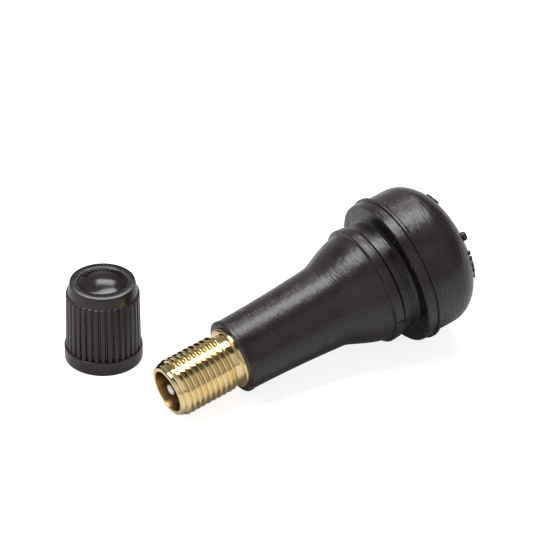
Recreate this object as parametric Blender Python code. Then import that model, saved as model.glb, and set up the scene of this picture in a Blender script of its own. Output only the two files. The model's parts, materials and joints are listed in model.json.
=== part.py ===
"""Snap-in rubber tyre valve with its plastic cap taken off and stood beside it.

The valve lies on its side, resting on the lip of its rubber head and on the first crest of
its brass thread. Its own frame has Z along the stem, from the mouth to the back of the head,
and X towards the ground. The cap stands upright on its open end. The origin of the whole is
the middle of the footprint, on the ground, with +X along the stem and +Z up.
"""

import math

import bmesh
import bpy

MM = 0.001

# Rubber body, lengths along the stem
BRASS_SHOWN = 9.8 * MM
SLEEVE_LENGTH = 14.1 * MM
BEAD_WIDTH = 0.6 * MM
SHOULDER_LENGTH = 5.95 * MM
STEP_LENGTH = 0.25 * MM
BAND_WIDTH = 1.15 * MM
RIM_GROOVE = 2.51 * MM
RING_WIDTH = 1.44 * MM
LIP_WIDTH = 0.4 * MM
HEAD_SIDE_LENGTH = 3.2 * MM
HEAD_ROUND_LENGTH = 4.7 * MM
GROOVE_FILLET = 0.35 * MM
GROOVE_FILLET_RISE = 0.12 * MM

# Rubber body, radii
BEAD_RADIUS = 4.94 * MM
FRONT_RADIUS = 4.86 * MM
SLEEVE_RADIUS = 5.54 * MM
SLEEVE_BOW = 0.12 * MM
SHOULDER_RADIUS = 7.47 * MM
SHOULDER_RISE = 0.45 * MM
SHOULDER_START_PULL = 0.18
SHOULDER_END_PULL = 0.46
RIDGE_RADIUS = 7.95 * MM
BAND_BACK_RADIUS = 7.88 * MM
NECK_RADIUS = 7.4 * MM
RING_RADIUS = 9.68 * MM
LIP_RADIUS = 9.97 * MM
HEAD_RADIUS = 9.55 * MM
BACK_RADIUS = 3.45 * MM
AIR_HOLE_RADIUS = 2.0 * MM
EDGE = 0.15 * MM

# Brass stem
MOUTH_EDGE_RADIUS = 3.28 * MM
THREAD_START = 0.45 * MM
THREAD_LENGTH = 8.1 * MM
THREAD_PITCH = 0.794 * MM
CREST_RADIUS = 3.81 * MM
ROOT_RADIUS = 3.38 * MM
CREST_WIDTH = 0.16 * MM
ROOT_WIDTH = 0.1 * MM
LAND_RADIUS = 3.42 * MM
COLLAR_RADIUS = 4.1 * MM
COLLAR_WIDTH = 0.4 * MM
SHANK_RADIUS = 3.6 * MM
ANCHOR_RADIUS = 4.6 * MM
ANCHOR_WIDTH = 1.5 * MM
SHANK_BEHIND_ANCHOR = 1.2 * MM
ANCHOR_SETBACK = 0.8 * MM
COUNTERBORE_RADIUS = 2.82 * MM
COUNTERBORE_DEPTH = 2.3 * MM
CHAMBER_RADIUS = 2.05 * MM
AIR_WAY_RADIUS = 1.45 * MM
SEAT_RADIUS = 2.42 * MM

# Valve core
CORE_TRAVEL = 3.5 * MM
PIN_TRAVEL = 1.0 * MM
PIN_INSET = 0.35 * MM
PIN_TIP_LENGTH = 0.4 * MM
PIN_TIP_RADIUS = 0.74 * MM
PIN_RADIUS = 0.42 * MM
BRIDGE_HEIGHT = 1.0 * MM
BRIDGE_WIDTH = 1.9 * MM
BRIDGE_RADIUS = 2.3 * MM
PLUG_LENGTH = 3.7 * MM
PLUG_RADIUS = 2.58 * MM
PLUG_BORE_RADIUS = 1.6 * MM
PLUG_FLOOR = 0.6 * MM
SWIVEL_LIP = 0.45 * MM
SWIVEL_NECK_RADIUS = 1.2 * MM
SWIVEL_FLANGE_RADIUS = 1.45 * MM
SWIVEL_FLANGE_LENGTH = 0.6 * MM
SWIVEL_BORE_RADIUS = 0.78 * MM
BARREL_COLLAR_LENGTH = 2.05 * MM
BARREL_COLLAR_RADIUS = 1.95 * MM
SEAL_LENGTH = 2.2 * MM
SEAL_GROOVE_RADIUS = 1.36 * MM
BARREL_FLANGE_RADIUS = 1.8 * MM
BARREL_FLANGE_WIDTH = 0.5 * MM
BARREL_TAIL_RADIUS = 1.5 * MM
BARREL_TAIL_LENGTH = 3.8 * MM
BARREL_FLOOR = 1.8 * MM
SPRING_BORE_RADIUS = 1.02 * MM
GUIDE_RADIUS = 0.7 * MM
RETAINER_RADIUS = 0.92 * MM
RETAINER_THICKNESS = 0.35 * MM
SPRING_WIRE_RADIUS = 0.1 * MM
SPRING_TURNS = 6.5
CUP_SEAL_RADIUS = 1.42 * MM
CUP_SEAL_THICKNESS = 0.72 * MM
CUP_WALL = 0.22 * MM
CUP_GRIP = 0.4 * MM
CUP_FLOOR = 0.5 * MM
CUP_BOSS_RADIUS = 0.9 * MM
CUP_BOSS_LENGTH = 0.8 * MM
RIVET_RADIUS = 0.65 * MM
RIVET_LENGTH = 0.3 * MM

# Cap
CAP_HEIGHT = 11.3 * MM
CAP_DOME_RISE = 0.75 * MM
CAP_DOME_RADIUS = 3.2 * MM
CAP_RIM_RADIUS = 4.23 * MM
CAP_RIM_WIDTH = 0.8 * MM
CAP_GROOVE_DEPTH = 0.12 * MM
CAP_GROOVE_FLOOR = 0.05 * MM
CAP_BAND_RADIUS = 4.53 * MM
CAP_BAND_HEIGHT = 1.5 * MM
CAP_SKIRT_RADIUS = 5.05 * MM
CAP_SKIRT_HEIGHT = 1.9 * MM
RIB_COUNT = 34
RIB_RADIUS = 4.86 * MM
RIB_TAPER = 0.1 * MM
RIB_ROOT_RADIUS = 4.52 * MM
RIB_TOP_CHAMFER = 0.3 * MM
RIB_SHARE = 0.36
CAP_DEPTH = 9.3 * MM
CAP_ENTRY_RADIUS = 4.25 * MM
CAP_ENTRY_DEPTH = 1.3 * MM
CAP_SEAL_THICKNESS = 0.8 * MM
CAP_SEAL_BORE_RADIUS = 1.6 * MM
CAP_AHEAD_OF_MOUTH = 0.3 * MM
CAP_DISTANCE = 15.95 * MM

# Clearances
BOND_GAP = 0.03 * MM
RUNNING_GAP = 0.08 * MM
CORE_THREAD_GAP = 0.05 * MM
CAP_THREAD_GAP = 0.08 * MM
SEAL_GAP = 0.05 * MM
FIXED_GAP = 0.03 * MM
CAP_SEAL_GAP = 0.06 * MM
TIP_GAP = 0.1 * MM
TAP_RUNOUT = 0.35 * MM
PIN_HOLE_GAP = 0.13 * MM

# Facets and shading
FACET_COUNT = 36
CORE_FACET_COUNT = 24
PIN_FACET_COUNT = 16
WIRE_FACET_COUNT = 12
ARC_STEPS = 7
SLEEVE_STEPS = 4
DOME_STEPS = 5
SMOOTH_DEGREES = 35
FRAME_MARK_SIZE = 5 * MM

# Places along the stem, from the mouth
SLEEVE_END = BRASS_SHOWN + SLEEVE_LENGTH
SHOULDER_END = SLEEVE_END + SHOULDER_LENGTH
RIDGE_AT = SHOULDER_END + STEP_LENGTH
BAND_END = RIDGE_AT + BAND_WIDTH
RING_FACE = BAND_END + RIM_GROOVE
LIP_FRONT = RING_FACE + RING_WIDTH
LIP_BACK = LIP_FRONT + LIP_WIDTH
HEAD_SIDE_END = LIP_BACK + HEAD_SIDE_LENGTH
VALVE_LENGTH = HEAD_SIDE_END + HEAD_ROUND_LENGTH
ANCHOR_START = RING_FACE + ANCHOR_SETBACK
ANCHOR_END = ANCHOR_START + ANCHOR_WIDTH
SHANK_END = ANCHOR_END + SHANK_BEHIND_ANCHOR
TIP_BACK = PIN_INSET + PIN_TIP_LENGTH
BRIDGE_FRONT = TIP_BACK + PIN_TRAVEL + TIP_GAP
PLUG_FRONT = BRIDGE_FRONT + BRIDGE_HEIGHT
PLUG_BACK = PLUG_FRONT + PLUG_LENGTH
BARREL_FRONT = PLUG_BACK + RUNNING_GAP
SWIVEL_FLANGE_FRONT = BARREL_FRONT + SWIVEL_LIP + RUNNING_GAP
SWIVEL_END = SWIVEL_FLANGE_FRONT + SWIVEL_FLANGE_LENGTH
SEAL_FRONT = BARREL_FRONT + BARREL_COLLAR_LENGTH
SEAL_BACK = SEAL_FRONT + SEAL_LENGTH
BARREL_FLANGE_FRONT = SEAL_BACK + FIXED_GAP
BARREL_FLANGE_BACK = BARREL_FLANGE_FRONT + BARREL_FLANGE_WIDTH
BARREL_BACK = BARREL_FLANGE_BACK + BARREL_TAIL_LENGTH
SPRING_FLOOR = BARREL_BACK - BARREL_FLOOR
RETAINER_FRONT = SWIVEL_END + RUNNING_GAP
RETAINER_BACK = RETAINER_FRONT + RETAINER_THICKNESS
CUP_SEAL_FRONT = BARREL_BACK + FIXED_GAP
CUP_SEAL_BACK = CUP_SEAL_FRONT + CUP_SEAL_THICKNESS
CUP_FLOOR_FRONT = CUP_SEAL_BACK + FIXED_GAP
CUP_FLOOR_BACK = CUP_FLOOR_FRONT + CUP_FLOOR
CUP_BACK = CUP_FLOOR_BACK + CUP_BOSS_LENGTH
PIN_BACK = CUP_BACK + FIXED_GAP + RIVET_LENGTH
CHAMBER_END = PIN_BACK + PIN_TRAVEL + CORE_TRAVEL
CAP_RIB_TOP = CAP_HEIGHT - CAP_BAND_HEIGHT

# The crest that touches the ground is the first full one, half a turn after the thread starts.
FLANK_WIDTH = (THREAD_PITCH - CREST_WIDTH - ROOT_WIDTH) / 2
RAMP_STEPS = FACET_COUNT // 2
THREAD_STEPS = round((THREAD_LENGTH - THREAD_PITCH) / THREAD_PITCH * FACET_COUNT)
THREAD_END = THREAD_START + THREAD_LENGTH
CREST_AT_GROUND = THREAD_START + THREAD_PITCH * RAMP_STEPS / FACET_COUNT + FLANK_WIDTH
FACET_SHARE = math.cos(math.pi / FACET_COUNT)
TILT = math.atan((LIP_RADIUS - CREST_RADIUS) * FACET_SHARE / (LIP_FRONT - CREST_AT_GROUND))


def make_material(name, colour, roughness, metallic=0.0):
    """A plain finish for one sub-part."""
    material = bpy.data.materials.new(name)
    material.use_nodes = True
    material.diffuse_color = (*colour, 1.0)
    shader = material.node_tree.nodes["Principled BSDF"]
    shader.inputs["Base Color"].default_value = (*colour, 1.0)
    shader.inputs["Roughness"].default_value = roughness
    shader.inputs["Metallic"].default_value = metallic
    return material


def add_empty(name, parent=None):
    empty = bpy.data.objects.new(name, None)
    empty.empty_display_size = FRAME_MARK_SIZE
    empty.parent = parent
    bpy.context.collection.objects.link(empty)
    return empty


def add_object(name, bm, material, parent):
    """Turns a bmesh into an object with outward faces, shaded smooth between its edges."""
    bmesh.ops.recalc_face_normals(bm, faces=bm.faces)
    mesh = bpy.data.meshes.new(name)
    bm.to_mesh(mesh)
    bm.free()
    mesh.shade_smooth()
    mesh.set_sharp_from_angle(angle=math.radians(SMOOTH_DEGREES))
    mesh.materials.append(material)
    obj = bpy.data.objects.new(name, mesh)
    obj.parent = parent
    bpy.context.collection.objects.link(obj)
    return obj


def circle(bm, radius, place, count):
    """A ring of points about Z with a flat side towards +X, or one point where the radius is 0."""
    if radius == 0:
        return [bm.verts.new((0, 0, place))]
    points = []
    for i in range(count):
        angle = math.pi * (2 * i + 1) / count
        points.append(bm.verts.new((radius * math.cos(angle), radius * math.sin(angle), place)))
    return points


def bridge(bm, first, second):
    """Joins two rings whose counts are equal, or where one count divides the other."""
    if len(first) < len(second):
        first, second = second, first
    step = len(first) // len(second)
    for i, point in enumerate(first):
        after = first[(i + 1) % len(first)]
        near = second[(i // step) % len(second)]
        if len(second) > 1 and (i + 1) % step == 0:
            bm.faces.new((point, after, second[(i // step + 1) % len(second)], near))
        else:
            bm.faces.new((point, after, near))


def turned(name, outline, count, material, parent):
    """A solid turned about Z from (radius, place) points. An outline off the axis closes itself."""
    bm = bmesh.new()
    rings = [circle(bm, radius, place, count) for radius, place in outline]
    for first, second in zip(rings, rings[1:]):
        bridge(bm, first, second)
    if len(rings[0]) > 1 and len(rings[-1]) > 1:
        bridge(bm, rings[-1], rings[0])
    return add_object(name, bm, material, parent)


def curve_points(start, start_pull, end_pull, end, steps):
    """Points on a Bezier curve between two (radius, place) points, without its start."""
    found = []
    for i in range(1, steps + 1):
        t = i / steps
        weights = ((1 - t) ** 3, 3 * t * (1 - t) ** 2, 3 * t * t * (1 - t), t ** 3)
        pulls = (start, start_pull, end_pull, end)
        found.append(tuple(sum(w * p[k] for w, p in zip(weights, pulls)) for k in (0, 1)))
    return found


def quarter_ellipse(centre, reach, length, steps):
    """Points from (centre radius + reach, place) round to (centre radius, place + length)."""
    radius, place = centre
    angles = [math.pi / 2 * i / steps for i in range(1, steps + 1)]
    return [(radius + reach * math.cos(a), place + length * math.sin(a)) for a in angles]


def rubber_outline():
    """The outside of the rubber from its front face to the air hole in the back of the head."""
    face = BRASS_SHOWN + BOND_GAP
    sleeve_start = face + BEAD_WIDTH
    third = (SLEEVE_END - sleeve_start) / 3
    flare = (SLEEVE_RADIUS - FRONT_RADIUS) / 3
    bow = SLEEVE_BOW * 4 / 3
    points = [(BEAD_RADIUS - EDGE / 2, face), (BEAD_RADIUS, face + EDGE / 2)]
    points += [(BEAD_RADIUS, sleeve_start - EDGE), (FRONT_RADIUS, sleeve_start)]
    points += curve_points(
        points[-1],
        (FRONT_RADIUS + flare - bow, sleeve_start + third),
        (SLEEVE_RADIUS - flare - bow, SLEEVE_END - third),
        (SLEEVE_RADIUS, SLEEVE_END),
        SLEEVE_STEPS,
    )
    points += curve_points(
        points[-1],
        (SLEEVE_RADIUS, SLEEVE_END + SHOULDER_LENGTH * SHOULDER_START_PULL),
        (SHOULDER_RADIUS - SHOULDER_RISE, SHOULDER_END - SHOULDER_LENGTH * SHOULDER_END_PULL),
        (SHOULDER_RADIUS, SHOULDER_END),
        ARC_STEPS,
    )
    points += [(RIDGE_RADIUS, RIDGE_AT), (BAND_BACK_RADIUS, BAND_END - EDGE)]
    points += [(BAND_BACK_RADIUS - EDGE, BAND_END), (NECK_RADIUS, BAND_END)]
    points += [(NECK_RADIUS, RING_FACE - GROOVE_FILLET)]
    points += [(NECK_RADIUS + GROOVE_FILLET_RISE, RING_FACE)]
    points += [(RING_RADIUS, RING_FACE), (RING_RADIUS, LIP_FRONT - EDGE), (LIP_RADIUS, LIP_FRONT)]
    points += [(LIP_RADIUS, LIP_BACK), (HEAD_RADIUS, LIP_BACK + EDGE), (HEAD_RADIUS, HEAD_SIDE_END)]
    round_centre = (BACK_RADIUS, HEAD_SIDE_END)
    points += quarter_ellipse(round_centre, HEAD_RADIUS - BACK_RADIUS, HEAD_ROUND_LENGTH, ARC_STEPS)
    points += [(AIR_HOLE_RADIUS + EDGE, VALVE_LENGTH), (AIR_HOLE_RADIUS, VALVE_LENGTH - EDGE)]
    return points


def rubber_body(material, parent):
    """The moulded rubber, bonded round the shank of the brass stem and its anchor."""
    inside = [
        (AIR_HOLE_RADIUS, SHANK_END + BOND_GAP),
        (SHANK_RADIUS + BOND_GAP, SHANK_END + BOND_GAP),
        (SHANK_RADIUS + BOND_GAP, ANCHOR_END + BOND_GAP),
        (ANCHOR_RADIUS + BOND_GAP, ANCHOR_END + BOND_GAP),
        (ANCHOR_RADIUS + BOND_GAP, ANCHOR_START - BOND_GAP),
        (SHANK_RADIUS + BOND_GAP, ANCHOR_START - BOND_GAP),
        (SHANK_RADIUS + BOND_GAP, BRASS_SHOWN + BOND_GAP),
    ]
    return turned("rubber_body", rubber_outline() + inside, FACET_COUNT, material, parent)


def thread_section(bm, step):
    """The four points across the ridge of the thread, one step round its helix."""
    angle = math.pi + 2 * math.pi * (step - 0.5) / FACET_COUNT
    place = THREAD_START + THREAD_PITCH * step / FACET_COUNT
    height = (CREST_RADIUS - ROOT_RADIUS) * min(1, step / RAMP_STEPS)
    height *= min(1, 2 * (THREAD_STEPS - step) / RAMP_STEPS)
    across = (
        (0, 0),
        (FLANK_WIDTH, height),
        (FLANK_WIDTH + CREST_WIDTH, height),
        (2 * FLANK_WIDTH + CREST_WIDTH, 0),
    )
    points = []
    for along, rise in across:
        radius = ROOT_RADIUS + rise
        x, y = radius * math.cos(angle), radius * math.sin(angle)
        points.append(bm.verts.new((x, y, place + along)))
    return points


def add_thread(bm, front, back):
    """A single right-hand ridge wound between two root rings, fading out at both ends."""
    sections = [thread_section(bm, step) for step in range(THREAD_STEPS + 1)]
    for here, after in zip(sections, sections[1:]):
        for k in range(3):
            bm.faces.new((here[k], after[k], after[k + 1], here[k + 1]))
    last = THREAD_STEPS - FACET_COUNT
    for i in range(last):
        here, after = sections[i], sections[i + 1]
        next_turn, after_turn = sections[i + FACET_COUNT], sections[i + 1 + FACET_COUNT]
        bm.faces.new((here[3], after[3], after_turn[0], next_turn[0]))
    for i in range(FACET_COUNT):
        closing = sections[0] if i == FACET_COUNT - 1 else []
        ring_pair = (front[i], front[(i + 1) % FACET_COUNT])
        bm.faces.new([sections[i][0], *ring_pair, *closing, sections[i + 1][0]])
    for i in range(last, THREAD_STEPS):
        opening = sections[-1] if i == last else []
        ring_pair = (back[(i + 1) % FACET_COUNT], back[i % FACET_COUNT])
        bm.faces.new([sections[i][3], sections[i + 1][3], *ring_pair, *opening[::-1]])


def stem_insert(material, parent):
    """The turned brass stem: thread, collar, shank with its anchor, and the stepped bore."""
    bore = PLUG_RADIUS + CORE_THREAD_GAP
    tap_end = PLUG_BACK + TAP_RUNOUT
    outside = [
        (ROOT_RADIUS, THREAD_END),
        (LAND_RADIUS, THREAD_END + EDGE),
        (LAND_RADIUS, BRASS_SHOWN - COLLAR_WIDTH),
        (COLLAR_RADIUS - EDGE, BRASS_SHOWN - COLLAR_WIDTH),
        (COLLAR_RADIUS, BRASS_SHOWN - COLLAR_WIDTH + EDGE),
        (COLLAR_RADIUS, BRASS_SHOWN),
        (SHANK_RADIUS, BRASS_SHOWN),
        (SHANK_RADIUS, ANCHOR_START),
        (ANCHOR_RADIUS, ANCHOR_START),
        (ANCHOR_RADIUS, ANCHOR_END),
        (SHANK_RADIUS, ANCHOR_END),
        (SHANK_RADIUS, SHANK_END),
    ]
    inside = [
        (AIR_WAY_RADIUS, SHANK_END),
        (AIR_WAY_RADIUS, CHAMBER_END),
        (CHAMBER_RADIUS, CHAMBER_END - (CHAMBER_RADIUS - AIR_WAY_RADIUS)),
        (CHAMBER_RADIUS, SEAL_BACK),
        (SEAT_RADIUS, SEAL_FRONT),
        (SEAT_RADIUS, tap_end + EDGE),
        (bore, tap_end),
        (bore, COUNTERBORE_DEPTH + EDGE),
        (COUNTERBORE_RADIUS, COUNTERBORE_DEPTH),
        (COUNTERBORE_RADIUS, EDGE / 2),
        (COUNTERBORE_RADIUS + EDGE / 2, 0),
        (MOUTH_EDGE_RADIUS, 0),
    ]
    bm = bmesh.new()
    front = thread_ring(bm, THREAD_START)
    back = thread_ring(bm, THREAD_END)
    add_thread(bm, front, back)
    rings = [back] + [thread_ring(bm, place, radius) for radius, place in outside[1:] + inside]
    for first, second in zip(rings, rings[1:] + [front]):
        bridge(bm, first, second)
    return add_object("stem_insert", bm, material, parent)


def thread_ring(bm, place, radius=ROOT_RADIUS):
    """A ring of points that starts at the same angle as the thread does."""
    ring = circle(bm, radius, place, FACET_COUNT)
    start = FACET_COUNT // 2 - 1
    return ring[start:] + ring[:start]


def cut_or_join(target, tool, operation):
    """Applies a Boolean of the helper to the target and removes the helper."""
    modifier = target.modifiers.new(tool.name, "BOOLEAN")
    modifier.operation = operation
    modifier.object = tool
    bpy.context.view_layer.update()
    graph = bpy.context.evaluated_depsgraph_get()
    mesh = bpy.data.meshes.new_from_object(target.evaluated_get(graph))
    target.modifiers.remove(modifier)
    target.data = mesh
    bpy.data.objects.remove(tool)


def core_plug(material, parent):
    """The threaded plug: a ring with a bridge across it for the key, and a neck that swivels."""
    floor = PLUG_BACK - PLUG_FLOOR
    outline = [
        (PLUG_RADIUS - EDGE, PLUG_FRONT),
        (PLUG_RADIUS, PLUG_FRONT + EDGE),
        (PLUG_RADIUS, PLUG_BACK - EDGE),
        (PLUG_RADIUS - EDGE, PLUG_BACK),
        (SWIVEL_NECK_RADIUS, PLUG_BACK),
        (SWIVEL_NECK_RADIUS, SWIVEL_FLANGE_FRONT),
        (SWIVEL_FLANGE_RADIUS, SWIVEL_FLANGE_FRONT),
        (SWIVEL_FLANGE_RADIUS, SWIVEL_END),
        (SWIVEL_BORE_RADIUS, SWIVEL_END),
        (SWIVEL_BORE_RADIUS, floor),
        (PLUG_BORE_RADIUS, floor),
        (PLUG_BORE_RADIUS, PLUG_FRONT),
    ]
    plug = turned("core_plug", outline, CORE_FACET_COUNT, material, parent)
    half_length = math.sqrt(BRIDGE_RADIUS ** 2 - (BRIDGE_WIDTH / 2) ** 2)
    cut_or_join(plug, bar("bridge", half_length, parent), "UNION")
    hole = PIN_RADIUS + PIN_HOLE_GAP
    cutter_ends = [(0, BRIDGE_FRONT - MM), (hole, BRIDGE_FRONT - MM), (hole, floor), (0, floor)]
    cutter = turned("pin_hole", cutter_ends, PIN_FACET_COUNT, material, parent)
    cut_or_join(plug, cutter, "DIFFERENCE")
    return plug


def bar(name, half_length, parent):
    """The bridge's block, with its outer edges cut back as a key wears and guides them."""
    bm = bmesh.new()
    bmesh.ops.create_cube(bm, size=1)
    depth = BRIDGE_HEIGHT + PLUG_FLOOR
    for point in bm.verts:
        low = point.co.z < 0
        point.co.x *= BRIDGE_WIDTH if not low else BRIDGE_WIDTH - 2 * EDGE
        point.co.y *= 2 * half_length
        point.co.z = BRIDGE_FRONT if low else BRIDGE_FRONT + depth
    mesh = bpy.data.meshes.new(name)
    bmesh.ops.recalc_face_normals(bm, faces=bm.faces)
    bm.to_mesh(mesh)
    bm.free()
    obj = bpy.data.objects.new(name, mesh)
    obj.parent = parent
    bpy.context.collection.objects.link(obj)
    return obj


def core_barrel(material, parent):
    """The barrel: a collar rolled over the plug's neck, a groove for the seal, and a seat."""
    lip_bore = SWIVEL_NECK_RADIUS + RUNNING_GAP
    swivel_bore = SWIVEL_FLANGE_RADIUS + RUNNING_GAP
    outline = [
        (BARREL_COLLAR_RADIUS - EDGE, BARREL_FRONT),
        (BARREL_COLLAR_RADIUS, BARREL_FRONT + EDGE),
        (BARREL_COLLAR_RADIUS, SEAL_FRONT - FIXED_GAP),
        (SEAL_GROOVE_RADIUS, SEAL_FRONT - FIXED_GAP),
        (SEAL_GROOVE_RADIUS, BARREL_FLANGE_FRONT),
        (BARREL_FLANGE_RADIUS, BARREL_FLANGE_FRONT),
        (BARREL_FLANGE_RADIUS, BARREL_FLANGE_BACK),
        (BARREL_TAIL_RADIUS, BARREL_FLANGE_BACK + EDGE),
        (BARREL_TAIL_RADIUS, BARREL_BACK - 2 * EDGE),
        (BARREL_TAIL_RADIUS - 2 * EDGE, BARREL_BACK),
        (GUIDE_RADIUS + EDGE, BARREL_BACK),
        (GUIDE_RADIUS, BARREL_BACK - EDGE),
        (GUIDE_RADIUS, SPRING_FLOOR),
        (SPRING_BORE_RADIUS, SPRING_FLOOR),
        (SPRING_BORE_RADIUS, SWIVEL_END + RUNNING_GAP / 2),
        (swivel_bore, SWIVEL_END + RUNNING_GAP / 2),
        (swivel_bore, BARREL_FRONT + SWIVEL_LIP),
        (lip_bore, BARREL_FRONT + SWIVEL_LIP),
        (lip_bore, BARREL_FRONT),
    ]
    return turned("core_barrel", outline, CORE_FACET_COUNT, material, parent)


def seat_radius(place):
    """The radius of the stem's conical seat at a place along it."""
    share = (place - SEAL_FRONT) / SEAL_LENGTH
    return SEAT_RADIUS + (CHAMBER_RADIUS - SEAT_RADIUS) * share


def barrel_seal(material, parent):
    """The tapered sleeve in the barrel's groove, which closes against the stem's seat."""
    inner = SEAL_GROOVE_RADIUS + SEAL_GAP
    outline = [
        (seat_radius(SEAL_FRONT) - SEAL_GAP, SEAL_FRONT),
        (seat_radius(SEAL_BACK) - SEAL_GAP, SEAL_BACK),
        (inner, SEAL_BACK),
        (inner, SEAL_FRONT),
    ]
    return turned("barrel_seal", outline, CORE_FACET_COUNT, material, parent)


def core_pin(material, parent):
    """The pin, upset into a button at the mouth and riveted over behind the cup."""
    rivet_front = CUP_BACK + FIXED_GAP
    outline = [
        (0, PIN_INSET),
        (PIN_TIP_RADIUS - EDGE, PIN_INSET),
        (PIN_TIP_RADIUS, PIN_INSET + EDGE),
        (PIN_TIP_RADIUS, TIP_BACK),
        (PIN_RADIUS, TIP_BACK),
        (PIN_RADIUS, rivet_front),
        (RIVET_RADIUS, rivet_front),
        (RIVET_RADIUS - EDGE, PIN_BACK),
        (0, PIN_BACK),
    ]
    return turned("core_pin", outline, PIN_FACET_COUNT, material, parent)


def spring_retainer(material, parent):
    """The washer on the pin that the spring pushes towards the mouth."""
    inner = PIN_RADIUS + FIXED_GAP
    outline = [
        (inner, RETAINER_FRONT),
        (RETAINER_RADIUS - EDGE, RETAINER_FRONT),
        (RETAINER_RADIUS, RETAINER_FRONT + EDGE),
        (RETAINER_RADIUS, RETAINER_BACK),
        (inner, RETAINER_BACK),
    ]
    return turned("spring_retainer", outline, PIN_FACET_COUNT, material, parent)


def core_spring(material, parent):
    """The helical spring between the retainer and the floor of the barrel."""
    coil_radius = (SPRING_BORE_RADIUS + PIN_RADIUS) / 2
    start = RETAINER_BACK + SPRING_WIRE_RADIUS + RUNNING_GAP
    end = SPRING_FLOOR - SPRING_WIRE_RADIUS - FIXED_GAP
    steps = round(SPRING_TURNS * WIRE_FACET_COUNT)
    data = bpy.data.curves.new("core_spring", "CURVE")
    data.dimensions = "3D"
    data.bevel_depth = SPRING_WIRE_RADIUS
    data.bevel_resolution = 1
    data.use_fill_caps = True
    spline = data.splines.new("POLY")
    spline.points.add(steps)
    for i, point in enumerate(spline.points):
        angle = 2 * math.pi * i / WIRE_FACET_COUNT
        place = start + (end - start) * i / steps
        point.co = (coil_radius * math.cos(angle), coil_radius * math.sin(angle), place, 1)
    data.materials.append(material)
    obj = bpy.data.objects.new("core_spring", data)
    obj.parent = parent
    bpy.context.collection.objects.link(obj)
    return obj


def pin_cup(material, parent):
    """The brass cup on the pin that carries the soft seal up against the barrel."""
    inner = CUP_SEAL_RADIUS + FIXED_GAP
    bore = PIN_RADIUS + FIXED_GAP
    outline = [
        (bore, CUP_FLOOR_FRONT),
        (inner, CUP_FLOOR_FRONT),
        (inner, CUP_SEAL_BACK - CUP_GRIP),
        (inner + CUP_WALL, CUP_SEAL_BACK - CUP_GRIP),
        (inner + CUP_WALL, CUP_FLOOR_BACK - EDGE),
        (inner + CUP_WALL - EDGE, CUP_FLOOR_BACK),
        (CUP_BOSS_RADIUS, CUP_FLOOR_BACK),
        (CUP_BOSS_RADIUS, CUP_BACK),
        (bore, CUP_BACK),
    ]
    return turned("pin_cup", outline, CORE_FACET_COUNT, material, parent)


def cup_seal(material, parent):
    """The soft washer held in the cup."""
    inner = PIN_RADIUS + FIXED_GAP
    outline = [
        (inner, CUP_SEAL_FRONT),
        (CUP_SEAL_RADIUS, CUP_SEAL_FRONT),
        (CUP_SEAL_RADIUS, CUP_SEAL_BACK),
        (inner, CUP_SEAL_BACK),
    ]
    return turned("cup_seal", outline, CORE_FACET_COUNT, material, parent)


def rib_ring(bm, place, tip_radius):
    """The ribbed outline of the cap's grip: four points for each rib, root and tip."""
    points = []
    tip_half = math.pi / RIB_COUNT * RIB_SHARE
    root_half = math.pi / RIB_COUNT * (1 - RIB_SHARE)
    for i in range(RIB_COUNT):
        middle = 2 * math.pi * i / RIB_COUNT
        for radius, turn in (
            (RIB_ROOT_RADIUS, -root_half),
            (tip_radius, -tip_half),
            (tip_radius, tip_half),
            (RIB_ROOT_RADIUS, root_half),
        ):
            angle = middle + turn
            x, y = radius * math.cos(angle), radius * math.sin(angle)
            points.append(bm.verts.new((x, y, place)))
    return points


def cap_ring(bm, radius, place, share):
    """A plain ring of the cap with `share` points for each rib, in step with the ribs."""
    count = RIB_COUNT * share
    points = []
    for i in range(count):
        angle = 2 * math.pi * (i - (share - 1) / 2) / count
        points.append(bm.verts.new((radius * math.cos(angle), radius * math.sin(angle), place)))
    return points


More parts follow.
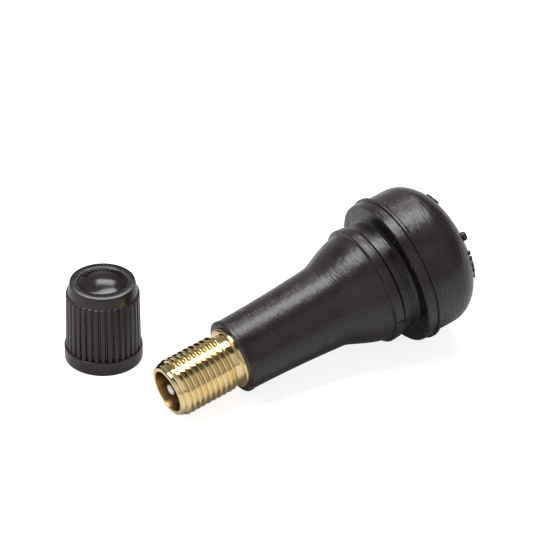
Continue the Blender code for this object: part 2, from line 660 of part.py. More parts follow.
def cap_shell(material, parent):
    """The moulded cap: skirt, ribbed grip, plain band, flat rim and dome over a blind bore."""
    bm = bmesh.new()
    rim_inside = CAP_RIM_RADIUS - CAP_RIM_WIDTH
    bore = CREST_RADIUS + CAP_THREAD_GAP
    outside = [
        cap_ring(bm, CAP_SKIRT_RADIUS - EDGE, 0, 2),
        cap_ring(bm, CAP_SKIRT_RADIUS, EDGE, 2),
        cap_ring(bm, CAP_SKIRT_RADIUS, CAP_SKIRT_HEIGHT - EDGE, 2),
        cap_ring(bm, CAP_SKIRT_RADIUS - EDGE / 2, CAP_SKIRT_HEIGHT, 2),
        rib_ring(bm, CAP_SKIRT_HEIGHT, RIB_RADIUS),
        rib_ring(bm, CAP_RIB_TOP - RIB_TOP_CHAMFER, RIB_RADIUS - RIB_TAPER),
        cap_ring(bm, CAP_BAND_RADIUS, CAP_RIB_TOP, 2),
        cap_ring(bm, CAP_RIM_RADIUS, CAP_HEIGHT - EDGE, 2),
        cap_ring(bm, CAP_RIM_RADIUS - EDGE, CAP_HEIGHT, 2),
        cap_ring(bm, rim_inside, CAP_HEIGHT, 1),
        cap_ring(bm, CAP_DOME_RADIUS + CAP_GROOVE_FLOOR, CAP_HEIGHT - CAP_GROOVE_DEPTH, 1),
    ]
    for step in range(DOME_STEPS):
        share = math.sin(math.pi / 2 * (1 - step / DOME_STEPS))
        rise = CAP_DOME_RISE * (1 - share ** 2)
        outside.append(cap_ring(bm, CAP_DOME_RADIUS * share, CAP_HEIGHT + rise, 1))
    inside = [
        cap_ring(bm, CAP_ENTRY_RADIUS, 0, 1),
        cap_ring(bm, CAP_ENTRY_RADIUS, CAP_ENTRY_DEPTH, 1),
        cap_ring(bm, bore, CAP_ENTRY_DEPTH + EDGE, 1),
        cap_ring(bm, bore, CAP_DEPTH, 1),
    ]
    for rings in (outside, inside, [outside[0], inside[0]]):
        for first, second in zip(rings, rings[1:]):
            bridge(bm, first, second)
    bridge(bm, outside[-1], [bm.verts.new((0, 0, CAP_HEIGHT + CAP_DOME_RISE))])
    bm.faces.new(inside[-1])
    return add_object("cap_shell", bm, material, parent)


def cap_seal(material, parent):
    """The soft ring at the end of the cap's bore, which closes on the mouth of the stem."""
    outer = CREST_RADIUS + CAP_THREAD_GAP - CAP_SEAL_GAP
    top = CAP_DEPTH - FIXED_GAP
    outline = [
        (outer, top - CAP_SEAL_THICKNESS),
        (outer, top),
        (CAP_SEAL_BORE_RADIUS, top),
        (CAP_SEAL_BORE_RADIUS, top - CAP_SEAL_THICKNESS),
    ]
    return turned("cap_seal", outline, RIB_COUNT, material, parent)


def place_frames():
    """The valve's tilted frame and the cap's upright one, about the middle of the footprint."""
    valve = add_empty("valve_frame")
    cap = add_empty("cap_frame")
    valve.rotation_euler = (0, math.pi / 2 - TILT, 0)
    reach = max(
        place * math.cos(TILT) + radius * FACET_SHARE * math.sin(TILT)
        for radius, place in rubber_outline()
    )
    near = CAP_AHEAD_OF_MOUTH - CAP_SKIRT_RADIUS
    left, right = -LIP_RADIUS, CAP_DISTANCE + CAP_SKIRT_RADIUS
    mouth_x = -(reach + near) / 2
    axis_y = -(left + right) / 2
    ground = CREST_RADIUS * FACET_SHARE * math.cos(TILT) - CREST_AT_GROUND * math.sin(TILT)
    valve.location = (mouth_x, axis_y, ground)
    cap.location = (mouth_x + CAP_AHEAD_OF_MOUTH, axis_y + CAP_DISTANCE, 0)
    return valve, cap


def build():
    for obj in list(bpy.data.objects):
        bpy.data.objects.remove(obj)
    rubber = make_material("black_rubber", (0.035, 0.033, 0.034), 0.5)
    brass = make_material("brass", (0.75, 0.53, 0.22), 0.25, 1.0)
    steel = make_material("nickel_plated_pin", (0.62, 0.6, 0.56), 0.3, 1.0)
    spring_steel = make_material("spring_steel", (0.45, 0.45, 0.46), 0.35, 1.0)
    seal_red = make_material("seal_sleeve", (0.45, 0.08, 0.05), 0.55)
    soft_black = make_material("soft_seal", (0.03, 0.03, 0.03), 0.7)
    plastic = make_material("black_plastic", (0.04, 0.037, 0.038), 0.4)
    valve, cap = place_frames()
    core = add_empty("core_frame", valve)
    pin = add_empty("pin_frame", core)
    rubber_body(rubber, valve)
    stem_insert(brass, valve)
    core_barrel(brass, core)
    barrel_seal(seal_red, core)
    core_spring(spring_steel, core)
    core_plug(brass, core)
    core_pin(steel, pin)
    spring_retainer(steel, pin)
    pin_cup(brass, pin)
    cup_seal(soft_black, pin)
    cap_shell(plastic, cap)
    cap_seal(soft_black, cap)


build()
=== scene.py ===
"""Looks of a snap-in tyre valve and its cap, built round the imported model.

The valve's pieces are modelled in the valve's own frame, with Z along the stem from its
mouth and X towards the ground, and are then laid in place. Sizes are in metres.
"""

import json
import math

import bpy
from bpy.props import FloatProperty, FloatVectorProperty, IntProperty, PointerProperty
from mathutils import Matrix, Vector


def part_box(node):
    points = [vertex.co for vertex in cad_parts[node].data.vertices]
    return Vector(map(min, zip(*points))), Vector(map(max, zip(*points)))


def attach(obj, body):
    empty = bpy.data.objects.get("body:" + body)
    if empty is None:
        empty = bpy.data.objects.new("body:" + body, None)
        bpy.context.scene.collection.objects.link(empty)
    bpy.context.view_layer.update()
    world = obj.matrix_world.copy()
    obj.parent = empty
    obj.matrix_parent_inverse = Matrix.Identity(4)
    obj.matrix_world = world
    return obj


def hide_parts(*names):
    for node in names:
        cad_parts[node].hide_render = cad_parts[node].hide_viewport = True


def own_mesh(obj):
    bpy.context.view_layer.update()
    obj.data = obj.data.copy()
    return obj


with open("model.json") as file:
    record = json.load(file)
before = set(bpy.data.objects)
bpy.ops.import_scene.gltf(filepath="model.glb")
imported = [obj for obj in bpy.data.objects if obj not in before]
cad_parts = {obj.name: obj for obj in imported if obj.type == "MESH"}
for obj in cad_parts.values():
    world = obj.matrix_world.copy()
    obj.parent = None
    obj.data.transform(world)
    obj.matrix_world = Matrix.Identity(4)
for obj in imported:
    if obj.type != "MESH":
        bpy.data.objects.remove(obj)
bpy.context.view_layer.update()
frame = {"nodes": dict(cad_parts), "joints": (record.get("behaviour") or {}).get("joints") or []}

bl_info = {
    "name": "Tyre Valve Looks",
    "version": (1, 0, 0),
    "blender": (4, 5, 0),
    "location": "View3D > Sidebar > Tyre Valve",
    "description": "Models a snap-in tyre valve, its core and its cap, with their finishes",
    "category": "Object",
}

MM = 0.001
WELD = 0.001 * MM
FULL_TURN = 2 * math.pi

# The valve's own frame, read from the hinge of its core, and the middle of the cap
core_hinge = next(joint for joint in frame["joints"] if joint["name"] == "core_turn")
STEM_AXIS = -Vector(core_hinge["axis"]).normalized()
STEM_MOUTH = Vector(core_hinge["pos_m"])
SIDEWAYS = Vector((0, 1, 0))
STEM_TURN = Matrix((SIDEWAYS.cross(STEM_AXIS), SIDEWAYS, STEM_AXIS)).transposed()
VALVE_PLACE = Matrix.Translation(STEM_MOUTH) @ STEM_TURN.to_4x4()
cap_low, cap_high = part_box("cap_shell")
CAP_MIDDLE = Vector(((cap_low.x + cap_high.x) / 2, (cap_low.y + cap_high.y) / 2, 0))
CAP_PLACE = Matrix.Translation(CAP_MIDDLE)


def number(label, value, text, **kind):
    """A plain number, or a power where its unit says so."""
    return FloatProperty(name=label, description=text, default=value, **kind)


def length(label, millimetres, text):
    """A length, given here in millimetres."""
    return number(label, millimetres * MM, text, unit="LENGTH", precision=5)


def share(label, value, text):
    """A share from 0 to 1."""
    return number(label, value, text, subtype="FACTOR", min=0, max=1)


def colour(label, value, text):
    """A colour in linear red, green and blue."""
    return FloatVectorProperty(
        name=label, description=text, default=value, subtype="COLOR", min=0, max=1
    )


class RubberSizes(bpy.types.PropertyGroup):
    """Places along the stem and radii of the rubber body."""

    face: length("Front face", 9.83, "Place of the front face of the rubber")
    bead_end: length("Bead end", 10.43, "Where the bead round the front edge ends")
    sleeve_end: length("Sleeve end", 23.9, "Where the sleeve meets the shoulder")
    shoulder_end: length("Shoulder end", 29.85, "Where the shoulder meets the ridge")
    ridge: length("Ridge", 30.02, "Place of the front face of the ridge")
    band_end: length("Band end", 31.25, "Where the band drops to the rim groove")
    ring_face: length("Ring face", 33.76, "Place of the face that meets the wheel")
    lip_front: length("Lip front", 35.2, "Where the lip starts")
    lip_back: length("Lip back", 35.6, "Where the lip ends")
    side_end: length("Head side end", 38.8, "Where the head starts to round over")
    back: length("Back", 43.5, "Place of the back of the head")
    bead_radius: length("Bead radius", 4.94, "Radius of the front bead")
    front_radius: length("Front radius", 4.86, "Radius of the sleeve behind its bead")
    sleeve_radius: length("Sleeve radius", 5.54, "Radius of the sleeve at the shoulder")
    shoulder_radius: length("Shoulder radius", 7.47, "Radius of the shoulder at the ridge")
    ridge_radius: length("Ridge radius", 7.95, "Radius of the ridge")
    band_radius: length("Band radius", 7.88, "Radius of the band at its back edge")
    slot_radius: length("Slot radius", 7.05, "Radius of the narrow slot behind the band")
    neck_radius: length("Neck radius", 7.4, "Radius at the foot of the rim groove")
    ring_radius: length("Ring radius", 9.68, "Radius of the ring in front of the lip")
    lip_radius: length("Lip radius", 9.97, "Radius of the lip")
    head_radius: length("Head radius", 9.55, "Radius of the side of the head")
    back_radius: length("Back radius", 3.45, "Radius of the flat at the back")
    sleeve_bow: length("Sleeve bow", 0.16, "How far the sleeve's side bows inwards")
    shoulder_hollow: share("Shoulder hollow", 0.18, "How long the shoulder starts along the stem")
    shoulder_swell: share("Shoulder swell", 0.46, "How long the shoulder ends along its crest")
    shoulder_lean: length("Shoulder lean", 0.45, "How far the shoulder's end leans outwards")
    air_hole: length("Air hole radius", 2.0, "Radius of the air hole in the back")
    cavity_radius: length("Cavity radius", 3.63, "Radius of the cavity round the brass shank")
    cavity_back: length("Cavity back", 37.29, "Where the cavity meets the air hole")
    anchor_radius: length("Anchor cavity radius", 4.63, "Radius of the cavity round the anchor")
    anchor_front: length("Anchor cavity front", 34.53, "Where the cavity widens for the anchor")
    anchor_back: length("Anchor cavity back", 36.09, "Where the cavity narrows again")


class StemSizes(bpy.types.PropertyGroup):
    """Sizes of the brass stem and its thread."""

    pitch: length("Thread pitch", 0.794, "Distance from one turn of the stem's thread to the next")
    crest: length("Crest radius", 3.81, "Radius of the thread's crest")
    root: length("Root radius", 3.38, "Radius of the thread's root")
    first_crest: length("First crest", 1.194, "Place of the crest that touches the ground")
    mouth_edge: length("Mouth edge radius", 3.28, "Outer radius of the flat ring at the mouth")
    thread_end: length("Thread end", 8.55, "Where the thread has run out")
    neck: length("Neck radius", 3.42, "Radius of the plain neck behind the thread")
    neck_front: length("Neck front", 8.62, "Where the neck starts")
    neck_end: length("Neck end", 9.3, "Where the neck widens to the collar")
    collar: length("Collar radius", 4.1, "Radius of the collar at the rubber's face")
    collar_front: length("Collar front", 9.4, "Place of the front face of the collar")
    collar_back: length("Collar back", 9.8, "Place of the back face of the collar")
    collar_foot: length("Collar foot radius", 3.5, "Radius where the collar meets the stem")
    counterbore: length("Counterbore radius", 2.82, "Radius of the smooth bore at the mouth")
    counterbore_end: length("Counterbore end", 2.3, "Where the smooth bore ends")
    bore: length("Bore radius", 2.63, "Radius of the bore that holds the core's plug")
    bore_front: length("Bore front", 2.45, "Where that bore starts")
    bore_end: length("Bore end", 6.9, "Where that bore ends")
    guide: length("Guide radius", 2.42, "Radius of the bore round the front of the barrel")
    guide_front: length("Guide front", 7.05, "Where that bore starts")
    guide_end: length("Guide end", 8.68, "Where the taper for the seal starts")
    chamber: length("Chamber radius", 2.05, "Radius of the chamber round the barrel")
    chamber_front: length("Chamber front", 10.88, "Where the taper for the seal ends")
    chamber_end: length("Chamber end", 21.52, "Where the chamber ends")
    air_way: length("Air way radius", 1.45, "Radius of the way through the shank")
    air_way_front: length("Air way front", 22.12, "Where that way starts")
    shank: length("Shank radius", 3.6, "Radius of the shank bonded in the rubber")
    shank_end: length("Shank end", 37.26, "Place of the end of the shank")
    anchor: length("Anchor radius", 4.6, "Radius of the anchor on the shank")
    anchor_front: length("Anchor front", 34.56, "Place of the front of the anchor")
    anchor_back: length("Anchor back", 36.06, "Place of the back of the anchor")


class CoreSizes(bpy.types.PropertyGroup):
    """Sizes of the screw-in core."""

    pitch: length("Core pitch", 0.705, "Travel of the core for each turn")
    plug_radius: length("Plug radius", 2.58, "Crest radius of the thread on the plug")
    plug_root: length("Plug root radius", 2.33, "Root radius of the thread on the plug")
    plug_front: length("Plug front", 2.85, "Place of the front of the plug's ring")
    plug_back: length("Plug back", 6.55, "Place of the back of the plug's ring")
    ring_bore: length("Plug bore radius", 1.6, "Radius of the bore in the plug's ring")
    ring_floor: length("Plug floor", 5.95, "Where the bore in the plug's ring ends")
    neck: length("Neck radius", 1.2, "Radius of the plug's neck")
    neck_end: length("Neck end", 7.16, "Where the neck meets its swivel")
    swivel: length("Swivel radius", 1.45, "Radius of the swivel that the barrel holds")
    swivel_end: length("Swivel end", 7.76, "Place of the end of the swivel")
    swivel_bore: length("Swivel bore radius", 0.78, "Radius of the bore through the neck")
    bridge_length: length("Bridge length", 4.18, "Length of the bridge that the key turns")
    bridge_width: length("Bridge width", 1.9, "Width of that bridge")
    bridge_depth: length("Bridge depth", 1.6, "Depth of that bridge along the stem")
    bridge_rise: length("Bridge rise", 1.0, "How far the bridge stands in front of the ring")
    bridge_hole: length("Bridge hole radius", 0.55, "Radius of the pin's hole in the bridge")
    tip_radius: length("Pin tip radius", 0.74, "Radius of the button on the end of the pin")
    tip_front: length("Pin tip front", 0.35, "Place of the front of the pin")
    tip_depth: length("Pin tip depth", 0.4, "Depth of the button")
    pin: length("Pin radius", 0.42, "Radius of the pin")
    pin_end: length("Pin end", 17.62, "Place of the riveted end of the pin")
    rivet: length("Rivet radius", 0.65, "Radius of the riveted end")
    rivet_front: length("Rivet front", 17.29, "Where the riveted end starts")
    wire: length("Spring wire radius", 0.1, "Radius of the spring's wire")
    coil: length("Coil radius", 0.72, "Radius of the spring to the middle of its wire")
    spring_front: length("Spring front", 8.27, "Place of the front of the spring")
    spring_end: length("Spring end", 13.38, "Place of the end of the spring")
    barrel_floor: length("Barrel floor", 13.41, "Place of the floor that holds the spring")
    spring_turns: number("Spring turns", 6.5, "Turns of the spring")


class CapSizes(bpy.types.PropertyGroup):
    """Sizes of the cap."""

    height: length("Height", 11.3, "Height of the cap to its flat rim")
    skirt_radius: length("Skirt radius", 5.05, "Radius of the plain skirt")
    skirt_height: length("Skirt height", 1.9, "Height of the plain skirt")
    rib_top: length("Rib top", 9.8, "Height of the top of the ribs")
    rib_radius: length("Rib radius", 4.86, "Radius of the ribs at their foot")
    rib_taper: length("Rib taper", 0.1, "How much narrower the ribs are at their top")
    groove_radius: length("Groove radius", 4.52, "Radius between the ribs")
    band_radius: length("Band radius", 4.53, "Radius of the plain band at its foot")
    rim_radius: length("Rim radius", 4.23, "Radius of the flat rim on top")
    dome_radius: length("Dome radius", 3.02, "Radius of the dome")
    dome_rise: length("Dome rise", 0.5, "Rise of the dome over the rim")
    bore_radius: length("Bore radius", 3.89, "Radius of the bore that takes the stem")
    bore_front: length("Bore front", 1.45, "Height at which that bore starts")
    bore_end: length("Bore end", 9.3, "Height of the top of the bore")
    mouth_radius: length("Mouth radius", 4.25, "Radius of the open end")
    mouth_depth: length("Mouth depth", 1.3, "Depth of the wider open end")
    ribs: IntProperty(name="Ribs", description="Number of ribs round the grip", default=34)


class Finishes(bpy.types.PropertyGroup):
    """Colours and roughness of the finishes."""

    rubber: colour("Rubber", (0.015, 0.0092, 0.0118), "Colour of the moulded rubber")
    rubber_pale: colour("Worn rubber", (0.028, 0.0195, 0.0235), "Colour of its paler patches")
    # Painted shade: the dark colour of the rim groove, where the band and the ring shade it.
    rubber_groove_shade: colour("Groove", (0.0062, 0.0026, 0.0036), "Colour of the unworn rim groove")
    rubber_rough: share("Rubber roughness", 0.27, "Roughness of the rubber")
    dust: colour("Dust", (0.3, 0.29, 0.3), "Colour of the dust on the rubber")
    brass: colour("Brass", (0.93, 0.78, 0.45), "Colour of the turned brass")
    brass_deep: colour("Deep brass", (0.86, 0.655, 0.34), "Colour of its duller patches")
    brass_rough: share("Brass roughness", 0.1, "Roughness of the brass")
    # Partly painted shade: the brass in the bore is given a darker colour for its shade as well as
    # its dullness.
    bore_brass_dull_and_shaded: colour("Brass in the bore", (0.4, 0.26, 0.11), "Colour of the dull bore")
    plate: colour("Nickel plate", (0.86, 0.85, 0.84), "Colour of the plated pin")
    steel: colour("Spring steel", (0.45, 0.45, 0.46), "Colour of the spring")
    seal_sleeve: colour("Seal sleeve", (0.45, 0.08, 0.05), "Colour of the seal on the barrel")
    soft_seal: colour("Soft seals", (0.03, 0.03, 0.03), "Colour of the soft seals")
    cap: colour("Cap plastic", (0.025, 0.0165, 0.0185), "Colour of the moulded cap")
    cap_top: colour("Cap top", (0.017, 0.0125, 0.014), "Colour of the polished rim and dome")
    cap_rough: share("Cap roughness", 0.22, "Roughness of the cap")
    cap_gloss: share("Cap top gloss", 0.09, "How much smoother the rim and dome of the cap are")


class StageSettings(bpy.types.PropertyGroup):
    """Light, floor and camera."""

    softbox_power: number("Softbox power", 4.8, "Power of the softbox overhead", unit="POWER")
    back_power: number("Back power", 0.55, "Power of the light behind", unit="POWER")
    fill_power: number("Fill power", 0.3, "Power of the fill by the camera", unit="POWER")
    room_level: share("Room light", 0.22, "Brightness of the room round the object")
    floor: colour("Floor", (0.66, 0.65, 0.66), "Colour of the floor")
    camera_lens: number("Lens", 418.65, "Focal length in millimetres")
    azimuth: number("Azimuth", -32.84, "Camera's turn about the object in degrees")
    elevation: number("Elevation", 33.54, "Camera's height in degrees")
    distance: length("Distance", 800, "Distance of the camera from the middle of the footprint")
    shift_right: length("Shift right", -0.734, "How far the camera is moved to its right")
    shift_up: length("Shift up", 10.433, "How far the camera is moved up in its picture")


# Shapes

# The most of an outline's edge that one fillet takes, so that its two fillets never meet
FILLET_REACH = 0.49

# Width of the soft edges of a bar, and about how many degrees it turns in one step
BAR_EDGE = 0.04 * MM
BAR_STEP = 3


def start_piece():
    """Leaves nothing selected, so that what follows acts only on what it adds."""
    if bpy.context.object and bpy.context.object.mode != "OBJECT":
        bpy.ops.object.mode_set(mode="OBJECT")
    bpy.ops.object.select_all(action="DESELECT")


def filleted(corners, steps=3):
    """Points of an outline of (radius, place, fillet) corners, each rounded by its fillet."""
    points = []
    count = len(corners)
    for i, (radius, place, fillet) in enumerate(corners):
        corner = Vector((radius, place))
        before = Vector(corners[i - 1][:2]) - corner
        after = Vector(corners[(i + 1) % count][:2]) - corner
        if not fillet or i in (0, count - 1):
            points.append(tuple(corner))
            continue
        half = before.angle(after) / 2
        most = FILLET_REACH * min(before.length, after.length)
        reach = min(fillet / math.tan(half), most)
        first, last = corner + before.normalized() * reach, corner + after.normalized() * reach
        for step in range(steps + 1):
            t = step / steps
            point = first * (1 - t) ** 2 + corner * 2 * t * (1 - t) + last * t * t
            points.append(tuple(point))
    return points


def curve(start, start_pull, end_pull, end, steps):
    """Points on a Bezier curve between two (radius, place) points, without its ends."""
    found = []
    for i in range(1, steps):
        t = i / steps
        weights = ((1 - t) ** 3, 3 * t * (1 - t) ** 2, 3 * t * t * (1 - t), t ** 3)
        pulls = (start, start_pull, end_pull, end)
        found.append(tuple(sum(w * p[k] for w, p in zip(weights, pulls)) for k in (0, 1)))
    return found


def draw_outline(name, points):
    """An outline in the XZ plane, drawn by extruding one point along it. It stays in edit mode."""
    start_piece()
    bpy.ops.mesh.primitive_plane_add(size=MM)
    piece = bpy.context.object
    piece.name = piece.data.name = name
    bpy.ops.object.mode_set(mode="EDIT")
    bpy.ops.mesh.select_mode(type="VERT")
    bpy.ops.mesh.select_all(action="SELECT")
    bpy.ops.mesh.merge(type="CENTER")
    bpy.ops.transform.translate(value=(points[0][0], 0, points[0][1]))
    for (radius, place), (next_radius, next_place) in zip(points, points[1:]):
        step = (next_radius - radius, 0, next_place - place)
        bpy.ops.mesh.extrude_vertices_move(TRANSFORM_OT_translate={"value": step})
    return piece


def turned(name, points, steps):
    """A closed outline spun about Z. One that doesn't start and end on the axis is a ring."""
    if points[0][0] > 0 or points[-1][0] > 0:
        points = points + points[:1]
    piece = draw_outline(name, points)
    bpy.ops.mesh.select_all(action="SELECT")
    bpy.ops.mesh.spin(steps=steps, angle=FULL_TURN, center=(0, 0, 0), axis=(0, 0, 1))
    bpy.ops.mesh.select_all(action="SELECT")
    bpy.ops.mesh.remove_doubles(threshold=WELD)
    bpy.ops.mesh.normals_make_consistent(inside=False)
    bpy.ops.object.mode_set(mode="OBJECT")
    return piece


def bar(name, points, start, wide):
    """A bar with soft edges: a closed section spun about Z, back from one angle by its width."""
    piece = draw_outline(name, points + points[:1])
    bpy.ops.mesh.select_all(action="SELECT")
    bpy.ops.mesh.remove_doubles(threshold=WELD)
    bpy.ops.mesh.select_all(action="SELECT")
    bpy.ops.mesh.edge_face_add()
    steps = max(3, round(wide / BAR_STEP))
    bpy.ops.mesh.spin(steps=steps, angle=math.radians(wide), center=(0, 0, 0), axis=(0, 0, 1))
    bpy.ops.mesh.select_all(action="SELECT")
    bpy.ops.mesh.normals_make_consistent(inside=False)
    bpy.ops.mesh.bevel(offset=BAR_EDGE, segments=2, affect="EDGES")
    bpy.ops.object.mode_set(mode="OBJECT")
    piece.rotation_euler = (0, 0, math.radians(start))
    bpy.ops.object.transform_apply(location=True, rotation=True, scale=True)
    return piece


def join_marks(piece, marks):
    """Makes one mesh of a piece and the marks on it, under the piece's name."""
    start_piece()
    for part in (*marks, piece):
        part.select_set(True)
    bpy.context.view_layer.objects.active = piece
    bpy.ops.object.join()


def box_section(over, under, front, end):
    """A square section between two radii and two places, for a bar."""
    return [(over, front), (over, end), (under, end), (under, front)]


def select_points(piece, wanted):
    """Leaves the piece in edit mode with just the points selected that the test wants."""
    bpy.ops.object.mode_set(mode="EDIT")
    bpy.ops.mesh.select_mode(type="VERT")
    bpy.ops.mesh.select_all(action="DESELECT")
    bpy.ops.object.mode_set(mode="OBJECT")
    for vertex in piece.data.vertices:
        vertex.select = wanted(vertex.co)
    bpy.ops.object.mode_set(mode="EDIT")


def extrude_rings(radius, place, points):
    """Extrudes the selected ring from one (radius, place) to the next."""
    for next_radius, next_place in points:
        rise = (0, 0, next_place - place)
        bpy.ops.mesh.extrude_region_move(TRANSFORM_OT_translate={"value": rise})
        grow = next_radius / radius
        bpy.ops.transform.resize(value=(grow, grow, 1), center_override=(0, 0, next_place))
        radius, place = next_radius, next_place


# Half of a thread's section, from root to crest: its height as a share of the thread's, and
# its place as a share of the pitch
THREAD_SECTION = (
    (0, -0.5),
    (0, -0.45),
    (0.06, -0.42),
    (0.5, -0.3),
    (0.9, -0.19),
    (0.98, -0.12),
    (1, -0.05),
    (1, 0),
)


def thread_strip(name, pitch, root, crest, first_crest, start, end, steps, limit):
    """A right-hand thread's surface between two places, trimmed to the limit at each place."""
    across = [(root + (crest - root) * rise, pitch * place) for rise, place in THREAD_SECTION]
    across += [(radius, -place) for radius, place in across[-2::-1]]
    below = math.ceil((first_crest - start) / pitch) + 1
    turns = below + math.ceil((end - first_crest) / pitch) + 1
    base = first_crest - below * pitch
    piece = draw_outline(name, [(radius, base + place) for radius, place in across])
    bpy.ops.object.mode_set(mode="OBJECT")
    screw = piece.modifiers.new("thread", "SCREW")
    screw.axis = "Z"
    screw.angle = FULL_TURN
    screw.iterations = turns
    screw.screw_offset = pitch
    screw.steps = screw.render_steps = steps
    screw.use_merge_vertices = False
    bpy.ops.object.modifier_apply(modifier=screw.name)
    bpy.ops.object.mode_set(mode="EDIT")
    bpy.ops.mesh.select_all(action="SELECT")
    bpy.ops.mesh.remove_doubles(threshold=WELD)
    for place, normal in ((start, 1), (end, -1)):
        bpy.ops.mesh.select_all(action="SELECT")
        bpy.ops.mesh.bisect(
            plane_co=(0, 0, place),
            plane_no=(0, 0, normal),
            clear_inner=True,
            threshold=WELD / 100,
        )
    bpy.ops.object.mode_set(mode="OBJECT")
    for vertex in piece.data.vertices:
        radius = math.hypot(vertex.co.x, vertex.co.y)
        most = limit(vertex.co.z)
        if radius > most:
            vertex.co.x *= most / radius
            vertex.co.y *= most / radius
    return piece


def close_tube(piece, front, back, front_rings, back_rings):
    """Carries a thread's two open rings on through their next rings, and joins their ends."""
    for (radius, place), rings in ((front, front_rings), (back, back_rings)):
        select_points(piece, lambda point: abs(point.z - place) < WELD)
        extrude_rings(radius, place, rings)
    bpy.ops.mesh.select_all(action="DESELECT")
    bpy.ops.mesh.select_non_manifold()
    bpy.ops.mesh.bridge_edge_loops()
    bpy.ops.mesh.select_all(action="SELECT")
    bpy.ops.mesh.normals_make_consistent(inside=False)
    bpy.ops.object.mode_set(mode="OBJECT")


def lay_in_place(piece, place, smooth_angle=32):
    """Puts a finished shape where it belongs, its place in its mesh, and shades it smooth."""
    start_piece()
    piece.select_set(True)
    bpy.context.view_layer.objects.active = piece
    piece.matrix_world = place
    bpy.ops.object.transform_apply(location=True, rotation=True, scale=True)
    bpy.ops.object.shade_smooth_by_angle(angle=math.radians(smooth_angle))


def dress(piece, material, slot, body, *nodes):
    """Gives a piece its finish and says what it moves with and stands for."""
    piece.data.materials.clear()
    piece.data.materials.append(material)
    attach(piece, body)
    if nodes:
        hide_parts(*nodes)


# Finishes


class Nodes:
    """A short way to add and link the nodes of one material or group."""

    def __init__(self, tree):
        self.tree = tree

    def add(self, kind, **settings):
        """Adds a node of a kind, with its settings."""
        node = self.tree.nodes.new(kind)
        for key, value in settings.items():
            setattr(node, key, value)
        return node

    def link(self, source, target):
        """Leads what comes out of one node into another."""
        self.tree.links.new(source, target)

    def math(self, operation, first, second=0.0):
        """Works out one number from two, each a plain number or a node's."""
        node = self.add("ShaderNodeMath", operation=operation)
        for socket, value in zip(node.inputs, (first, second)):
            if isinstance(value, (int, float)):
                socket.default_value = value
            else:
                self.link(value, socket)
        return node.outputs[0]

    def spread(self, value, low, high, to_low, to_high):
        """Carries a value from one range to another, and holds it at that range's ends."""
        node = self.add("ShaderNodeMapRange")
        node.inputs["From Min"].default_value = low
        node.inputs["From Max"].default_value = high
        node.inputs["To Min"].default_value = to_low
        node.inputs["To Max"].default_value = to_high
        self.link(value, node.inputs["Value"])
        return node.outputs["Result"]

    def mix_colour(self, factor, first, second):
        """Goes from the first colour to the second with the factor."""
        node = self.add("ShaderNodeMix", data_type="RGBA")
        sockets = (node.inputs["Factor"], node.inputs[6], node.inputs[7])
        for socket, value in zip(sockets, (factor, first, second)):
            if hasattr(value, "is_output"):
                self.link(value, socket)
            elif socket.type == "VALUE":
                socket.default_value = value
            else:
                socket.default_value = (*value, 1)
        return node.outputs[2]

    def group(self, tree, vector, **values):
        """Places a group with its values, and gives what comes out of it."""
        node = self.add("ShaderNodeGroup", node_tree=tree)
        self.link(vector, node.inputs["Vector"])
        for key, value in values.items():
            node.inputs[key.replace("_", " ").capitalize()].default_value = value
        return node.outputs[0]

    def split(self, vector):
        """The X, Y and Z of a vector, by their names."""
        node = self.add("ShaderNodeSeparateXYZ")
        self.link(vector, node.inputs["Vector"])
        return node.outputs

    def clamped(self, value):
        """A value held between 0 and 1."""
        return self.math("MINIMUM", self.math("MAXIMUM", value, 0), 1)

    def off_axis(self, parts):
        """How far a point lies from the Z axis."""
        across = self.math("MULTIPLY", parts["X"], parts["X"])
        along = self.math("MULTIPLY", parts["Y"], parts["Y"])
        return self.math("SQRT", self.math("ADD", across, along))

    def ray_kinds(self):
        """Masks of the rays from the camera, and of those sent on by a mirror or a clear thing."""
        path = self.add("ShaderNodeLightPath")
        sent_on = (path.outputs["Is Glossy Ray"], path.outputs["Is Transmission Ray"])
        return path.outputs["Is Camera Ray"], self.math("MAXIMUM", *sent_on)


def new_group(name, inputs, output):
    """A shader group that takes a vector and some numbers, and gives one number.

    A new one comes with its nodes, to be filled, and one that was built before without them.
    """
    if name in bpy.data.node_groups:
        return bpy.data.node_groups[name], None
    tree = bpy.data.node_groups.new(name, "ShaderNodeTree")
    tree.interface.new_socket("Vector", in_out="INPUT", socket_type="NodeSocketVector")
    for label, value in inputs:
        socket = tree.interface.new_socket(label, in_out="INPUT", socket_type="NodeSocketFloat")
        socket.default_value = value
    tree.interface.new_socket(output, in_out="OUTPUT", socket_type="NodeSocketFloat")
    nodes = Nodes(tree)
    nodes.enter = nodes.add("NodeGroupInput")
    nodes.leave = nodes.add("NodeGroupOutput")
    return tree, nodes


def cloud_group():
    """Slow patches, such as handling marks: 0 to 1."""
    tree, nodes = new_group("soft_patches", [("Size", 0.003), ("Contrast", 1.0)], "Mask")
    if nodes:
        scale = nodes.math("DIVIDE", 1, nodes.enter.outputs["Size"])
        noise = nodes.add("ShaderNodeTexNoise")
        noise.inputs["Detail"].default_value = 4
        nodes.link(nodes.enter.outputs["Vector"], noise.inputs["Vector"])
        nodes.link(scale, noise.inputs["Scale"])
        centred = nodes.math("SUBTRACT", noise.outputs["Fac"], 0.5)
        gained = nodes.math("MULTIPLY", centred, nodes.enter.outputs["Contrast"])
        nodes.link(nodes.math("ADD", gained, 0.5), nodes.leave.inputs["Mask"])
    return tree


